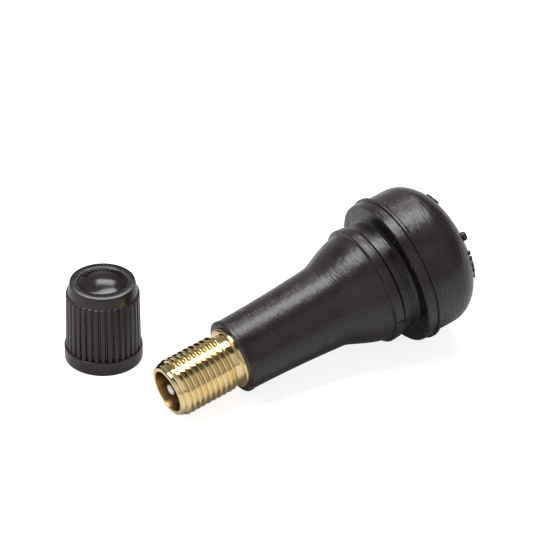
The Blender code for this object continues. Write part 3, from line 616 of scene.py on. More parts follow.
def ring_group():
    """Fine marks that run round the Z axis, from a lathe or a mould: a height from 0 to 1."""
    tree, nodes = new_group("marks_round_axis", [("Spacing", 0.0002), ("Break up", 0.2)], "Height")
    if nodes:
        parts = nodes.split(nodes.enter.outputs["Vector"])
        together = nodes.add("ShaderNodeCombineXYZ")
        for axis in "XY":
            part = nodes.math("MULTIPLY", parts[axis], nodes.enter.outputs["Break up"])
            nodes.link(part, together.inputs[axis])
        nodes.link(parts["Z"], together.inputs["Z"])
        noise = nodes.add("ShaderNodeTexNoise")
        noise.inputs["Detail"].default_value = 2
        nodes.link(together.outputs["Vector"], noise.inputs["Vector"])
        nodes.link(nodes.math("DIVIDE", 1, nodes.enter.outputs["Spacing"]), noise.inputs["Scale"])
        nodes.link(noise.outputs["Fac"], nodes.leave.inputs["Height"])
    return tree


def grain_group():
    """Fine even grain: a height from 0 to 1."""
    tree, nodes = new_group("fine_grain", [("Size", 0.0001)], "Height")
    if nodes:
        noise = nodes.add("ShaderNodeTexNoise")
        noise.inputs["Detail"].default_value = 3
        noise.inputs["Roughness"].default_value = 0.7
        nodes.link(nodes.enter.outputs["Vector"], noise.inputs["Vector"])
        nodes.link(nodes.math("DIVIDE", 1, nodes.enter.outputs["Size"]), noise.inputs["Scale"])
        nodes.link(noise.outputs["Fac"], nodes.leave.inputs["Height"])
    return tree


def dust_group():
    """Sparse pale specks of dust: 0 to 1."""
    tree, nodes = new_group("dust_specks", [("Spacing", 0.002), ("Speck", 0.06)], "Mask")
    if nodes:
        cells = nodes.add("ShaderNodeTexVoronoi")
        nodes.link(nodes.enter.outputs["Vector"], cells.inputs["Vector"])
        nodes.link(nodes.math("DIVIDE", 1, nodes.enter.outputs["Spacing"]), cells.inputs["Scale"])
        inside = nodes.math("LESS_THAN", cells.outputs["Distance"], nodes.enter.outputs["Speck"])
        nodes.link(inside, nodes.leave.inputs["Mask"])
    return tree


def bore_group():
    """The inside of a bore along Z behind its front edge: 0 or 1."""
    tree, nodes = new_group("inside_bore", [("Radius", 0.003), ("Front", 0.0)], "Mask")
    if nodes:
        parts = nodes.split(nodes.enter.outputs["Vector"])
        near = nodes.math("LESS_THAN", nodes.off_axis(parts), nodes.enter.outputs["Radius"])
        deep = nodes.math("GREATER_THAN", parts["Z"], nodes.enter.outputs["Front"])
        nodes.link(nodes.math("MULTIPLY", near, deep), nodes.leave.inputs["Mask"])
    return tree


# Length over which the mask of the painted shade in the rim groove comes up behind its front
GROOVE_SHADE_FADE = 0.5 * MM


def groove_shade_group():
    """How deep a point lies in a hollow round the Z axis, between two places: 0 to 1, the mask of
    the painted shade in the rim groove.
    """
    inputs = [("Foot", 0.007), ("Edge", 0.009), ("Front", 0.032), ("Back", 0.034)]
    tree, nodes = new_group("groove_shade_mask", inputs, "Mask")
    if nodes:
        given = nodes.enter.outputs
        parts = nodes.split(given["Vector"])
        sunk = nodes.math("SUBTRACT", given["Edge"], nodes.off_axis(parts))
        depth = nodes.math("SUBTRACT", given["Edge"], given["Foot"])
        deep = nodes.clamped(nodes.math("DIVIDE", sunk, depth))
        past = nodes.math("SUBTRACT", parts["Z"], given["Front"])
        risen = nodes.clamped(nodes.math("DIVIDE", past, GROOVE_SHADE_FADE))
        before = nodes.math("LESS_THAN", parts["Z"], given["Back"])
        inside = nodes.math("MULTIPLY", nodes.math("MULTIPLY", deep, risen), before)
        nodes.link(inside, nodes.leave.inputs["Mask"])
    return tree


# Where the patches' mask starts and ends to change the roughness
PATCH_RANGE = (0.2, 0.8)


def new_material(name, place):
    """A material with its shader, and coordinates in the piece's own frame."""
    material = bpy.data.materials.new(name)
    material.use_nodes = True
    nodes = Nodes(material.node_tree)
    shader = material.node_tree.nodes["Principled BSDF"]
    coordinates = nodes.add("ShaderNodeTexCoord")
    mapping = nodes.add("ShaderNodeMapping", vector_type="TEXTURE")
    mapping.inputs["Location"].default_value = place.to_translation()
    mapping.inputs["Rotation"].default_value = place.to_euler()
    nodes.link(coordinates.outputs["Object"], mapping.inputs["Vector"])
    return material, nodes, shader, mapping.outputs["Vector"]


def set_rough(nodes, shader, patches, low, high):
    """Roughness that goes from low to high with the patches."""
    rough = nodes.spread(patches, *PATCH_RANGE, low, high)
    nodes.link(rough, shader.inputs["Roughness"])


def shaded(shade, factor):
    """A colour made darker or paler."""
    return tuple(factor * part for part in shade)


def add_bump(nodes, shader, heights, distance):
    """Adds up the heights, each with its weight, into the shader's normal."""
    total = None
    for height, weight in heights:
        part = nodes.math("MULTIPLY", height, weight)
        total = part if total is None else nodes.math("ADD", total, part)
    bump = nodes.add("ShaderNodeBump")
    bump.inputs["Distance"].default_value = distance
    nodes.link(total, bump.inputs["Height"])
    nodes.link(bump.outputs["Normal"], shader.inputs["Normal"])


def rubber_finish(look):
    """Moulded rubber with handling marks, dust, mould ripples and painted shade in the rim groove.
    """
    material, nodes, shader, vector = new_material("black_rubber", VALVE_PLACE)
    patches = nodes.group(cloud_group(), vector, size=2.4 * MM, contrast=1.5)
    dust = nodes.group(dust_group(), vector, spacing=3.6 * MM, speck=0.035)
    # Painted shade: the rim groove is darkened towards its foot, between the band and the ring.
    groove = {"foot": 8.9 * MM, "edge": 9.75 * MM, "front": 32.15 * MM, "back": 34.3 * MM}
    hollow = nodes.group(groove_shade_group(), vector, **groove)
    worn = nodes.mix_colour(patches, look.rubber, look.rubber_pale)
    body = nodes.mix_colour(hollow, worn, look.rubber_groove_shade)
    nodes.link(nodes.mix_colour(dust, body, look.dust), shader.inputs["Base Color"])
    set_rough(nodes, shader, patches, look.rubber_rough - 0.03, look.rubber_rough + 0.05)
    ripples = nodes.group(ring_group(), vector, spacing=0.27 * MM, break_up=0.2)
    rings = nodes.group(ring_group(), vector, spacing=0.2 * MM, break_up=0.06)
    grain = nodes.group(grain_group(), vector, size=0.14 * MM)
    add_bump(nodes, shader, [(ripples, 1.0), (rings, 0.3), (grain, 0.08)], 0.08 * MM)
    return material


def brass_finish(look):
    """Bright turned brass with tool marks, rougher inside the bore and darker there, partly as
    painted shade.
    """
    name = "turned_brass"
    if name in bpy.data.materials:
        return bpy.data.materials[name]
    material, nodes, shader, vector = new_material(name, VALVE_PLACE)
    patches = nodes.group(cloud_group(), vector, size=1.5 * MM, contrast=2.0)
    bore = nodes.group(bore_group(), vector, radius=3.0 * MM, front=0.05 * MM)
    outside = nodes.mix_colour(patches, look.brass_deep, look.brass)
    # Partly painted shade: the bore's colour is darker as well as rougher inside the bore.
    nodes.link(nodes.mix_colour(bore, outside, look.bore_brass_dull_and_shaded), shader.inputs["Base Color"])
    smooth, rough = look.brass_rough - 0.03, look.brass_rough + 0.06
    turned_face = nodes.spread(patches, *PATCH_RANGE, rough, smooth)
    duller = nodes.math("MULTIPLY", bore, 0.2)
    nodes.link(nodes.math("ADD", turned_face, duller), shader.inputs["Roughness"])
    shader.inputs["Metallic"].default_value = 1.0
    rings = nodes.group(ring_group(), vector, spacing=0.05 * MM, break_up=0.05)
    add_bump(nodes, shader, [(rings, 1.0)], 0.0015 * MM)
    return material


def plated_finish(look):
    """Soft bright plating with fine marks round the pin."""
    name = "nickel_plate"
    if name in bpy.data.materials:
        return bpy.data.materials[name]
    material, nodes, shader, vector = new_material(name, VALVE_PLACE)
    patches = nodes.group(cloud_group(), vector, size=0.4 * MM, contrast=1.5)
    face = nodes.mix_colour(patches, shaded(look.plate, 0.8), look.plate)
    nodes.link(face, shader.inputs["Base Color"])
    set_rough(nodes, shader, patches, 0.32, 0.22)
    shader.inputs["Metallic"].default_value = 1.0
    rings = nodes.group(ring_group(), vector, spacing=0.06 * MM, break_up=0.1)
    add_bump(nodes, shader, [(rings, 1.0)], 0.003 * MM)
    return material


def plain_finish(name, shade, rough, grain_size, metallic=0.0):
    """A finish for a small piece: slow patches of its colour and fine grain."""
    if name in bpy.data.materials:
        return bpy.data.materials[name]
    material, nodes, shader, vector = new_material(name, VALVE_PLACE)
    patches = nodes.group(cloud_group(), vector, size=0.8 * MM, contrast=1.5)
    face = nodes.mix_colour(patches, shaded(shade, 0.75), shade)
    nodes.link(face, shader.inputs["Base Color"])
    set_rough(nodes, shader, patches, rough + 0.06, rough - 0.06)
    shader.inputs["Metallic"].default_value = metallic
    grain = nodes.group(grain_group(), vector, size=grain_size)
    add_bump(nodes, shader, [(grain, 1.0)], 0.01 * MM)
    return material


def cap_finish(look):
    """Satin moulded plastic, polished over the rim and the dome."""
    material, nodes, shader, vector = new_material("cap_plastic", CAP_PLACE)
    patches = nodes.group(cloud_group(), vector, size=1.8 * MM, contrast=1.4)
    top = nodes.spread(nodes.split(vector)["Z"], 11.05 * MM, 11.25 * MM, 0, 1)
    body = nodes.mix_colour(patches, look.cap, shaded(look.cap, 1.35))
    nodes.link(nodes.mix_colour(top, body, look.cap_top), shader.inputs["Base Color"])
    smooth, rough = look.cap_rough - 0.03, look.cap_rough + 0.05
    satin = nodes.spread(patches, *PATCH_RANGE, smooth, rough)
    polish = nodes.math("MULTIPLY", top, look.cap_gloss)
    nodes.link(nodes.math("SUBTRACT", satin, polish), shader.inputs["Roughness"])
    grain = nodes.group(grain_group(), vector, size=0.1 * MM)
    add_bump(nodes, shader, [(grain, 1.0)], 0.003 * MM)
    return material


# Operators

# Steps of the finer curves, and of the turned shapes and the coil round their axis
CURVE_STEPS = 14
ROUNDING_STEPS = 15
BODY_STEPS, STEM_STEPS, CORE_STEPS, COIL_STEPS, PIP_STEPS = 144, 96, 48, 32, 24

# The plain raised marks on the back of the head: where each starts round the stem and its
# width, then the slopes of the head's rounding that each one crosses, all in degrees
BACK_MARKS = (
    (-192, 2.5),
    (-186, 4.5),
    (-178, 2.0),
    (-108, 2.5),
    (-101, 3.0),
    (-94, 2.5),
    (-87, 3.5),
    (-79, 2.0),
)
MARK_SLOPES = (60, 57, 54, 51)
BACK_MARK_PROUD, BACK_MARK_SUNK = 0.25 * MM, 0.15 * MM

# Where the vent pip stands round the stem and on the head's rounding, and where the seam on
# the band and the flash by the lip start and how wide they are, in degrees
PIP_TURN, PIP_SLOPE = -127.5, 64
NICK_START, NICK_WIDTH = -77.5, 2
FLASH_START, FLASH_WIDTH = -154, 30

# Section of the vent pip: radius, height and fillet of each corner, in millimetres
PIP_SECTION = ((0, -0.3, 0), (0.5, -0.3, 0), (0.66, 0.2, 0.15), (0.5, 0.58, 0.2), (0, 0.64, 0))

# The plain raised marks along the far side of the cap's dome, in degrees, and how far inside
# the dome's edge each one runs, in millimetres
DOME_MARKS = 13
DOME_MARKS_START = -12
DOME_MARKS_STEP = 11.5
DOME_MARK_WIDTH = 5
DOME_MARK_INSETS = (0.85, 0.5, 0.15)
DOME_MARK_PROUD, DOME_MARK_SUNK = 0.17 * MM, 0.12 * MM

# How steeply the threads rise at the stem's mouth and at the ends of the plug
STEM_TAPER = 0.45
PLUG_TAPER = 1.2

# The cap's grip: its rows of points and the points across each rib, then where a rib's foot
# lies and how wide its flank is, as shares of half the distance between two grooves
GRIP_ROWS = 12
RIB_POINTS = 12
RIB_FOOT, RIB_FLANK = 0.85, 0.5

# The width of the floor, and each lamp's name, place, size and target, in metres
FLOOR_SIZE = 4
LAMPS = (
    ("softbox", (-0.04, 0.125, 0.6), (0.72, 0.29), (-0.04, 0.125, 0)),
    ("back", (0.27, 0.42, 0.49), (0.21, 0.15), (0, 0, 0)),
    ("fill", (-0.5, -0.6, 0.4), (0.6, 0.6), (0, 0, 0)),
)

# The floor's own light for the camera, and for reflections
FLOOR_SEEN, FLOOR_MIRRORED = 0.84, 0.05

# Brightness of the room in reflections, in stops of (place, brightness): the walls in front
# and behind by height, then where one gives way to the other, and both from left to right
FRONT_WALL = (
    (0.0, 0.05),
    (0.025, 0.1),
    (0.05, 0.5),
    (0.3, 0.55),
    (0.77, 0.5),
    (0.82, 0.04),
    (1.0, 0.04),
)
BACK_WALL = ((0.0, 0.15), (0.05, 0.45), (0.28, 0.5), (0.42, 0.22), (1.0, 0.2))
BEHIND = ((0.0, 0.0), (0.08, 1.0))
ACROSS = ((0.0, 0.6), (0.15, 0.7), (0.4, 1.0), (0.66, 1.0), (0.88, 0.3), (1.0, 0.2))


class ValveOperator(bpy.types.Operator):
    """Shared settings of the operators of this add-on."""

    bl_options = {"REGISTER", "UNDO"}


class TYREVALVE_OT_rubber(ValveOperator):
    """Model the moulded rubber body and its marks"""

    bl_idname = "tyre_valve.rubber"
    bl_label = "Rubber Body"

    def execute(self, context):
        s = context.scene.valve_rubber
        flare = (s.sleeve_radius - s.front_radius) / 3
        third = (s.sleeve_end - s.bead_end) / 3
        sleeve = curve(
            (s.front_radius, s.bead_end),
            (s.front_radius + flare - s.sleeve_bow, s.bead_end + third),
            (s.sleeve_radius - flare - s.sleeve_bow, s.sleeve_end - third),
            (s.sleeve_radius, s.sleeve_end),
            CURVE_STEPS,
        )
        long = s.shoulder_end - s.sleeve_end
        shoulder = curve(
            (s.sleeve_radius, s.sleeve_end),
            (s.sleeve_radius, s.sleeve_end + long * s.shoulder_hollow),
            (s.shoulder_radius - s.shoulder_lean, s.shoulder_end - long * s.shoulder_swell),
            (s.shoulder_radius, s.shoulder_end),
            CURVE_STEPS,
        )
        slopes = [90 * (i + 1) / ROUNDING_STEPS for i in range(ROUNDING_STEPS)]
        rounding = [(*self.back_point(s, slope, 0), 0) for slope in slopes]
        corners = [
            (s.cavity_radius, s.face, 0),
            (s.bead_radius, s.face, 0.12 * MM),
            (s.bead_radius, s.bead_end - 0.1 * MM, 0.08 * MM),
            (s.front_radius, s.bead_end, 0.05 * MM),
            *[(*point, 0) for point in sleeve],
            (s.sleeve_radius, s.sleeve_end, 0),
            *[(*point, 0) for point in shoulder],
            (s.shoulder_radius, s.shoulder_end, 0.04 * MM),
            (s.ridge_radius, s.ridge, 0.14 * MM),
            (s.band_radius, s.band_end, 0.1 * MM),
            (s.slot_radius, s.band_end, 0.05 * MM),
            (s.slot_radius, s.band_end + 0.3 * MM, 0.05 * MM),
            (s.neck_radius, s.band_end + 0.42 * MM, 0.08 * MM),
            (s.neck_radius, s.ring_face, 1.0 * MM),
            (s.ring_radius, s.ring_face, 0.36 * MM),
            (s.ring_radius + 0.06 * MM, s.lip_front - 0.12 * MM, 0.05 * MM),
            (s.ring_radius, s.lip_front - 0.02 * MM, 0.02 * MM),
            (s.lip_radius, s.lip_front + 0.03 * MM, 0.06 * MM),
            (s.lip_radius, s.lip_back, 0.06 * MM),
            (s.head_radius - 0.06 * MM, s.lip_back + 0.08 * MM, 0.03 * MM),
            (s.head_radius, s.lip_back + 0.3 * MM, 0.08 * MM),
            (s.head_radius, s.side_end, 0),
            *rounding,
            (s.air_hole, s.back, 0.15 * MM),
            (s.air_hole, s.cavity_back, 0),
            (s.cavity_radius, s.cavity_back, 0),
            (s.cavity_radius, s.anchor_back, 0),
            (s.anchor_radius, s.anchor_back, 0),
            (s.anchor_radius, s.anchor_front, 0),
            (s.cavity_radius, s.anchor_front, 0),
        ]
        body = turned("moulded_rubber_body", filleted(corners), BODY_STEPS)
        marks = [self.vent_pip(s), self.band_nick(s), self.lip_flash(s)]
        marks += [self.mark(s, start, wide) for start, wide in BACK_MARKS]
        join_marks(body, marks)
        lay_in_place(body, VALVE_PLACE)
        dress(body, rubber_finish(context.scene.valve_finishes), "rubber", "root", "rubber_body")
        return {"FINISHED"}

    def back_point(self, s, slope, proud):
        """A point so far over the rounded back of the head, by the rounding's slope in degrees."""
        across, along = s.head_radius - s.back_radius, s.back - s.side_end
        angle = math.radians(slope)
        outward = Vector((math.cos(angle) / across, math.sin(angle) / along))
        outward = outward.normalized() * proud
        radius = s.back_radius + across * math.cos(angle) + outward.x
        return radius, s.side_end + along * math.sin(angle) + outward.y

    def mark(self, s, start, wide):
        """One plain raised mark on the rounded back of the head."""
        top = [self.back_point(s, slope, BACK_MARK_PROUD) for slope in MARK_SLOPES]
        foot = [self.back_point(s, slope, -BACK_MARK_SUNK) for slope in reversed(MARK_SLOPES)]
        return bar("raised_mark", top + foot, start, wide)

    def band_nick(self, s):
        """The little raised seam across the band."""
        over, under = s.ridge_radius + 0.08 * MM, s.ridge_radius - 0.2 * MM
        front, end = s.ridge + 0.1 * MM, s.band_end - 0.1 * MM
        section = box_section(over, under, front, end)
        return bar("band_nick", section, NICK_START, NICK_WIDTH)

    def lip_flash(self, s):
        """A low ridge of flash that runs beside the lip for part of the way round."""
        over, under = s.lip_radius + 0.12 * MM, s.head_radius - 0.15 * MM
        front, end = s.lip_back, s.lip_back + 0.15 * MM
        section = box_section(over, under, front, end)
        return bar("lip_flash", section, FLASH_START, FLASH_WIDTH)

    def vent_pip(self, s):
        """The round nub that the mould's vent leaves on the head."""
        corners = [tuple(part * MM for part in corner) for corner in PIP_SECTION]
        pip = turned("vent_pip", filleted(corners), PIP_STEPS)
        foot, above = (Vector(self.back_point(s, PIP_SLOPE, proud)) for proud in (0, MM))
        lean = Matrix.Rotation(math.atan2(above.x - foot.x, above.y - foot.y), 4, "Y")
        turn = Matrix.Rotation(math.radians(PIP_TURN), 4, "Z")
        pip.matrix_world = turn @ Matrix.Translation((foot.x, 0, foot.y)) @ lean
        bpy.ops.object.transform_apply(location=True, rotation=True, scale=True)
        return pip


class TYREVALVE_OT_stem(ValveOperator):
    """Model the turned brass stem with its thread, collar and bore"""

    bl_idname = "tyre_valve.stem"
    bl_label = "Brass Stem"

    def execute(self, context):
        s = context.scene.valve_stem
        front_place = (s.root - s.mouth_edge) / STEM_TAPER
        run_out = 0.5 * MM

        def blank(place):
            """The radius at a place of the blank that the thread is cut in."""
            rise = s.mouth_edge + place * STEM_TAPER
            fall = s.root + (s.thread_end - place) * (s.crest - s.root) / run_out
            return max(s.root, min(s.crest, rise, fall))

        stem = thread_strip(
            "threaded_brass_stem",
            pitch=s.pitch,
            root=s.root,
            crest=s.crest,
            first_crest=s.first_crest,
            start=front_place,
            end=s.thread_end,
            steps=STEM_STEPS,
            limit=blank,
        )
        bore = [
            (s.mouth_edge + 0.03 * MM, 0.04 * MM),
            (s.mouth_edge, 0.01 * MM),
            (s.mouth_edge - 0.03 * MM, 0),
            (s.counterbore + 0.1 * MM, 0),
            (s.counterbore + 0.03 * MM, 0.03 * MM),
            (s.counterbore, 0.1 * MM),
            (s.counterbore, s.counterbore_end),
            (s.bore, s.bore_front),
            (s.bore, s.bore_end),
            (s.guide, s.guide_front),
            (s.guide, s.guide_end),
            (s.chamber, s.chamber_front),
            (s.chamber, s.chamber_end),
            (s.air_way, s.air_way_front),
            (s.air_way, s.shank_end),
        ]
        shank = [
            (s.neck, s.neck_front),
            (s.neck, s.neck_end),
            (s.collar_foot, s.collar_front),
            (s.collar - 0.12 * MM, s.collar_front),
            (s.collar - 0.03 * MM, s.collar_front + 0.04 * MM),
            (s.collar, s.collar_front + 0.12 * MM),
            (s.collar, s.collar_back),
            (s.shank, s.collar_back),
            (s.shank, s.anchor_front),
            (s.anchor, s.anchor_front),
            (s.anchor, s.anchor_back),
            (s.shank, s.anchor_back),
            (s.shank, s.shank_end),
        ]
        close_tube(stem, (s.root, front_place), (s.root, s.thread_end), bore, shank)
        lay_in_place(stem, VALVE_PLACE)
        dress(stem, brass_finish(context.scene.valve_finishes), "brass", "root", "stem_insert")
        return {"FINISHED"}


class TYREVALVE_OT_plug(ValveOperator):
    """Model the threaded plug of the core, with its key bridge and swivel neck"""

    bl_idname = "tyre_valve.plug"
    bl_label = "Core Plug"

    def execute(self, context):
        s = context.scene.valve_core
        edge = 0.12 * MM
        front, back = s.plug_front + edge, s.plug_back - edge

        def blank(place):
            """The radius at a place of the blank that the thread is cut in."""
            rise = s.plug_root + (place - front) * PLUG_TAPER
            fall = s.plug_root + (back - place) * PLUG_TAPER
            return max(s.plug_root, min(s.plug_radius, rise, fall))

        plug = thread_strip(
            "threaded_core_plug",
            pitch=s.pitch,
            root=s.plug_root,
            crest=s.plug_radius,
            first_crest=s.plug_front + s.pitch,
            start=front,
            end=back,
            steps=CORE_STEPS,
            limit=blank,
        )
        face_radius = s.plug_root - 0.06 * MM
        neck = [
            (face_radius, s.plug_back),
            (s.neck, s.plug_back),
            (s.neck, s.neck_end),
            (s.swivel, s.neck_end),
            (s.swivel, s.swivel_end),
            (s.swivel_bore, s.swivel_end),
            (s.swivel_bore, s.ring_floor),
        ]
        ring = [
            (face_radius, s.plug_front),
            (s.ring_bore + 0.05 * MM, s.plug_front),
            (s.ring_bore, s.plug_front + 0.05 * MM),
            (s.ring_bore, s.ring_floor),
        ]
        close_tube(plug, (s.plug_root, front), (s.plug_root, back), ring, neck)
        bridge, hole = self.bridge(s), self.pin_hole(s)
        bpy.context.view_layer.objects.active = plug
        for tool, operation in ((bridge, "UNION"), (hole, "DIFFERENCE")):
            cut = plug.modifiers.new(operation.lower(), "BOOLEAN")
            cut.operation = operation
            cut.object = tool
            cut.solver = "EXACT"
            bpy.ops.object.modifier_apply(modifier=cut.name)
            bpy.data.objects.remove(tool)
        lay_in_place(plug, VALVE_PLACE)
        dress(plug, brass_finish(context.scene.valve_finishes), "brass", "plug", "core_plug")
        return {"FINISHED"}

    def bridge(self, s):
        """The bar across the ring that a key turns, with rounded edges."""
        middle = s.plug_front - s.bridge_rise + s.bridge_depth / 2
        start_piece()
        bpy.ops.mesh.primitive_cube_add(size=1, location=(0, 0, middle))
        bridge = bpy.context.object
        bridge.scale = (s.bridge_width, s.bridge_length, s.bridge_depth)
        bpy.ops.object.transform_apply(location=True, rotation=True, scale=True)
        rounded = bridge.modifiers.new("edges", "BEVEL")
        rounded.width = 0.15 * MM
        rounded.segments = 3
        bpy.ops.object.modifier_apply(modifier=rounded.name)
        return bridge

    def pin_hole(self, s):
        """A rod through the bridge, to be cut away for the pin."""
        front, back = s.plug_front - 2 * s.bridge_rise, s.ring_floor
        start_piece()
        bpy.ops.mesh.primitive_cylinder_add(
            vertices=32,
            radius=s.bridge_hole,
            depth=back - front,
            location=(0, 0, (front + back) / 2),
        )
        bpy.ops.object.transform_apply(location=True, rotation=True, scale=True)
        return bpy.context.object


class TYREVALVE_OT_pin(ValveOperator):
    """Model the core's pin with its button at the mouth"""

    bl_idname = "tyre_valve.pin"
    bl_label = "Core Pin"

    def execute(self, context):
        s = context.scene.valve_core
        tip_back = s.tip_front + s.tip_depth
        corners = [
            (0, s.tip_front, 0),
            (s.tip_radius - 0.2 * MM, s.tip_front + 0.02 * MM, 0.1 * MM),
            (s.tip_radius, s.tip_front + 0.15 * MM, 0.12 * MM),
            (s.tip_radius, tip_back, 0.05 * MM),
            (s.pin, tip_back, 0),
            (s.pin, s.rivet_front, 0),
            (s.rivet, s.rivet_front, 0.03 * MM),
            (s.rivet - 0.1 * MM, s.pin_end - 0.02 * MM, 0.1 * MM),
            (0, s.pin_end, 0),
        ]
        pin = turned("plated_core_pin", filleted(corners), CORE_STEPS)
        lay_in_place(pin, VALVE_PLACE)
        dress(pin, plated_finish(context.scene.valve_finishes), "plated_pin", "pin", "core_pin")
        return {"FINISHED"}


class TYREVALVE_OT_spring(ValveOperator):
    """Model the coiled spring of the core"""

    bl_idname = "tyre_valve.spring"
    bl_label = "Core Spring"

    def execute(self, context):
        s = context.scene.valve_core
        start, end = s.spring_front + s.wire, s.spring_end - s.wire
        start_piece()
        bpy.ops.mesh.primitive_circle_add(
            vertices=12,
            radius=s.wire,
            location=(s.coil, 0, start),
            rotation=(math.pi / 2, 0, 0),
        )
        spring = bpy.context.object
        spring.name = spring.data.name = "coiled_core_spring"
        bpy.ops.object.transform_apply(location=True, rotation=True, scale=True)
        screw = spring.modifiers.new("coil", "SCREW")
        screw.axis = "Z"
        screw.angle = FULL_TURN * s.spring_turns
        screw.screw_offset = end - start
        screw.steps = screw.render_steps = round(COIL_STEPS * s.spring_turns)
        bpy.ops.object.modifier_apply(modifier=screw.name)
        bpy.ops.object.mode_set(mode="EDIT")
        bpy.ops.mesh.select_all(action="DESELECT")
        bpy.ops.mesh.select_non_manifold()
        bpy.ops.mesh.edge_face_add()
        bpy.ops.mesh.select_all(action="SELECT")
        bpy.ops.mesh.normals_make_consistent(inside=False)
        bpy.ops.object.mode_set(mode="OBJECT")
        lay_in_place(spring, VALVE_PLACE)
        look = context.scene.valve_finishes
        steel = plain_finish("spring_steel", look.steel, 0.35, 0.05 * MM, 1.0)
        dress(spring, steel, "spring_steel", "core", "core_spring")
        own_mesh(spring)
        return {"FINISHED"}


class TYREVALVE_OT_small_parts(ValveOperator):
    """Give the small parts inside the valve and the cap their finishes"""

    bl_idname = "tyre_valve.small_parts"
    bl_label = "Small Parts"

    def execute(self, context):
        look = context.scene.valve_finishes
        soft = plain_finish("soft_seal", look.soft_seal, 0.6, 0.08 * MM)
        sleeve = plain_finish("seal_sleeve", look.seal_sleeve, 0.45, 0.1 * MM)
        brass, plate = brass_finish(look), plated_finish(look)
        finishes = {
            "core_barrel": brass,
            "pin_cup": brass,
            "spring_retainer": plate,
            "barrel_seal": sleeve,
            "cup_seal": soft,
            "cap_seal": soft,
        }
        for node, material in finishes.items():
            mesh = frame["nodes"][node].data
            mesh.materials.clear()
            mesh.materials.append(material)
        return {"FINISHED"}


class TYREVALVE_OT_cap(ValveOperator):
    """Model the ribbed cap with its skirt, band, rim and dome"""

    bl_idname = "tyre_valve.cap"
    bl_label = "Cap"

    def execute(self, context):
        s = context.scene.valve_cap
        row = (s.rib_top - s.skirt_height) / GRIP_ROWS
        grip = [s.skirt_height + 0.02 * MM + row * i for i in range(GRIP_ROWS)]
        fine = [s.skirt_height + step * MM for step in (0.08, 0.16)]
        fine += [s.rib_top - step * MM for step in (0.42, 0.32, 0.22, 0.12, 0.05)]
        dome_radii = [s.dome_radius * (1 - i / CURVE_STEPS) for i in range(1, CURVE_STEPS)]
        corners = [
            (0, s.bore_end, 0),
            (s.bore_radius, s.bore_end, 0),
            (s.bore_radius, s.bore_front, 0),
            (s.mouth_radius, s.mouth_depth, 0),
            (s.mouth_radius, 0, 0.05 * MM),
            (s.skirt_radius, 0, 0.15 * MM),
            (s.skirt_radius, s.skirt_height, 0.12 * MM),
            (s.groove_radius, s.skirt_height, 0),
            *[(s.groove_radius, place, 0) for place in sorted(grip + fine)],
            (s.groove_radius, s.rib_top, 0),
            (s.band_radius, s.rib_top + 0.02 * MM, 0.05 * MM),
            (s.rim_radius, s.height, 0.07 * MM),
            (s.dome_radius + 0.2 * MM, s.height, 0.06 * MM),
            (s.dome_radius + 0.05 * MM, s.height - 0.14 * MM, 0.04 * MM),
            (s.dome_radius - 0.01 * MM, s.height, 0.12 * MM),
            *[(radius, self.dome_height(s, radius), 0) for radius in dome_radii],
            (0, s.height + s.dome_rise, 0),
        ]
        cap = turned("ribbed_cap", filleted(corners), s.ribs * RIB_POINTS)
        self.raise_ribs(s, cap)
        starts = [DOME_MARKS_START + DOME_MARKS_STEP * i for i in range(DOME_MARKS)]
        join_marks(cap, [self.mark(s, start) for start in starts])
        lay_in_place(cap, CAP_PLACE, smooth_angle=40)
        dress(cap, cap_finish(context.scene.valve_finishes), "cap_plastic", "root", "cap_shell")
        return {"FINISHED"}

    def raise_ribs(self, s, cap):
        """Moves the points of the grip outwards into ribs, which round over at their top."""
        round_over = 0.3 * MM
        for vertex in cap.data.vertices:
            x, y, height = vertex.co
            radius = math.hypot(x, y)
            on_grip = abs(radius - s.groove_radius) < WELD
            if not on_grip or not s.skirt_height < height < s.rib_top:
                continue
            phase = (math.atan2(y, x) / FULL_TURN * s.ribs) % 1.0
            off_middle = abs(phase - 0.5) * 2
            flank = min(1.0, max(0.0, (RIB_FOOT - off_middle) / RIB_FLANK))
            raised = math.sin(math.pi / 2 * flank)
            up = (height - s.skirt_height) / (s.rib_top - s.skirt_height)
            crest = s.rib_radius - s.rib_taper * up
            end = max(0.0, 1 - (s.rib_top - height) / round_over)
            crest -= (crest - s.band_radius) * (1 - math.sqrt(1 - end * end))
            grown = s.groove_radius + (crest - s.groove_radius) * raised
            vertex.co.x *= grown / radius
            vertex.co.y *= grown / radius

    def mark(self, s, start):
        """One plain raised mark on the far side of the dome."""
        along = [
            (radius, self.dome_height(s, radius))
            for radius in (s.dome_radius - inset * MM for inset in DOME_MARK_INSETS)
        ]
        top = [(radius, height + DOME_MARK_PROUD) for radius, height in along]
        foot = [(radius, height - DOME_MARK_SUNK) for radius, height in reversed(along)]
        return bar("dome_mark", top + foot, start, DOME_MARK_WIDTH)

    def dome_height(self, s, radius):
        """Height of the dome at a radius."""
        return s.height + s.dome_rise * (1 - (radius / s.dome_radius) ** 2)


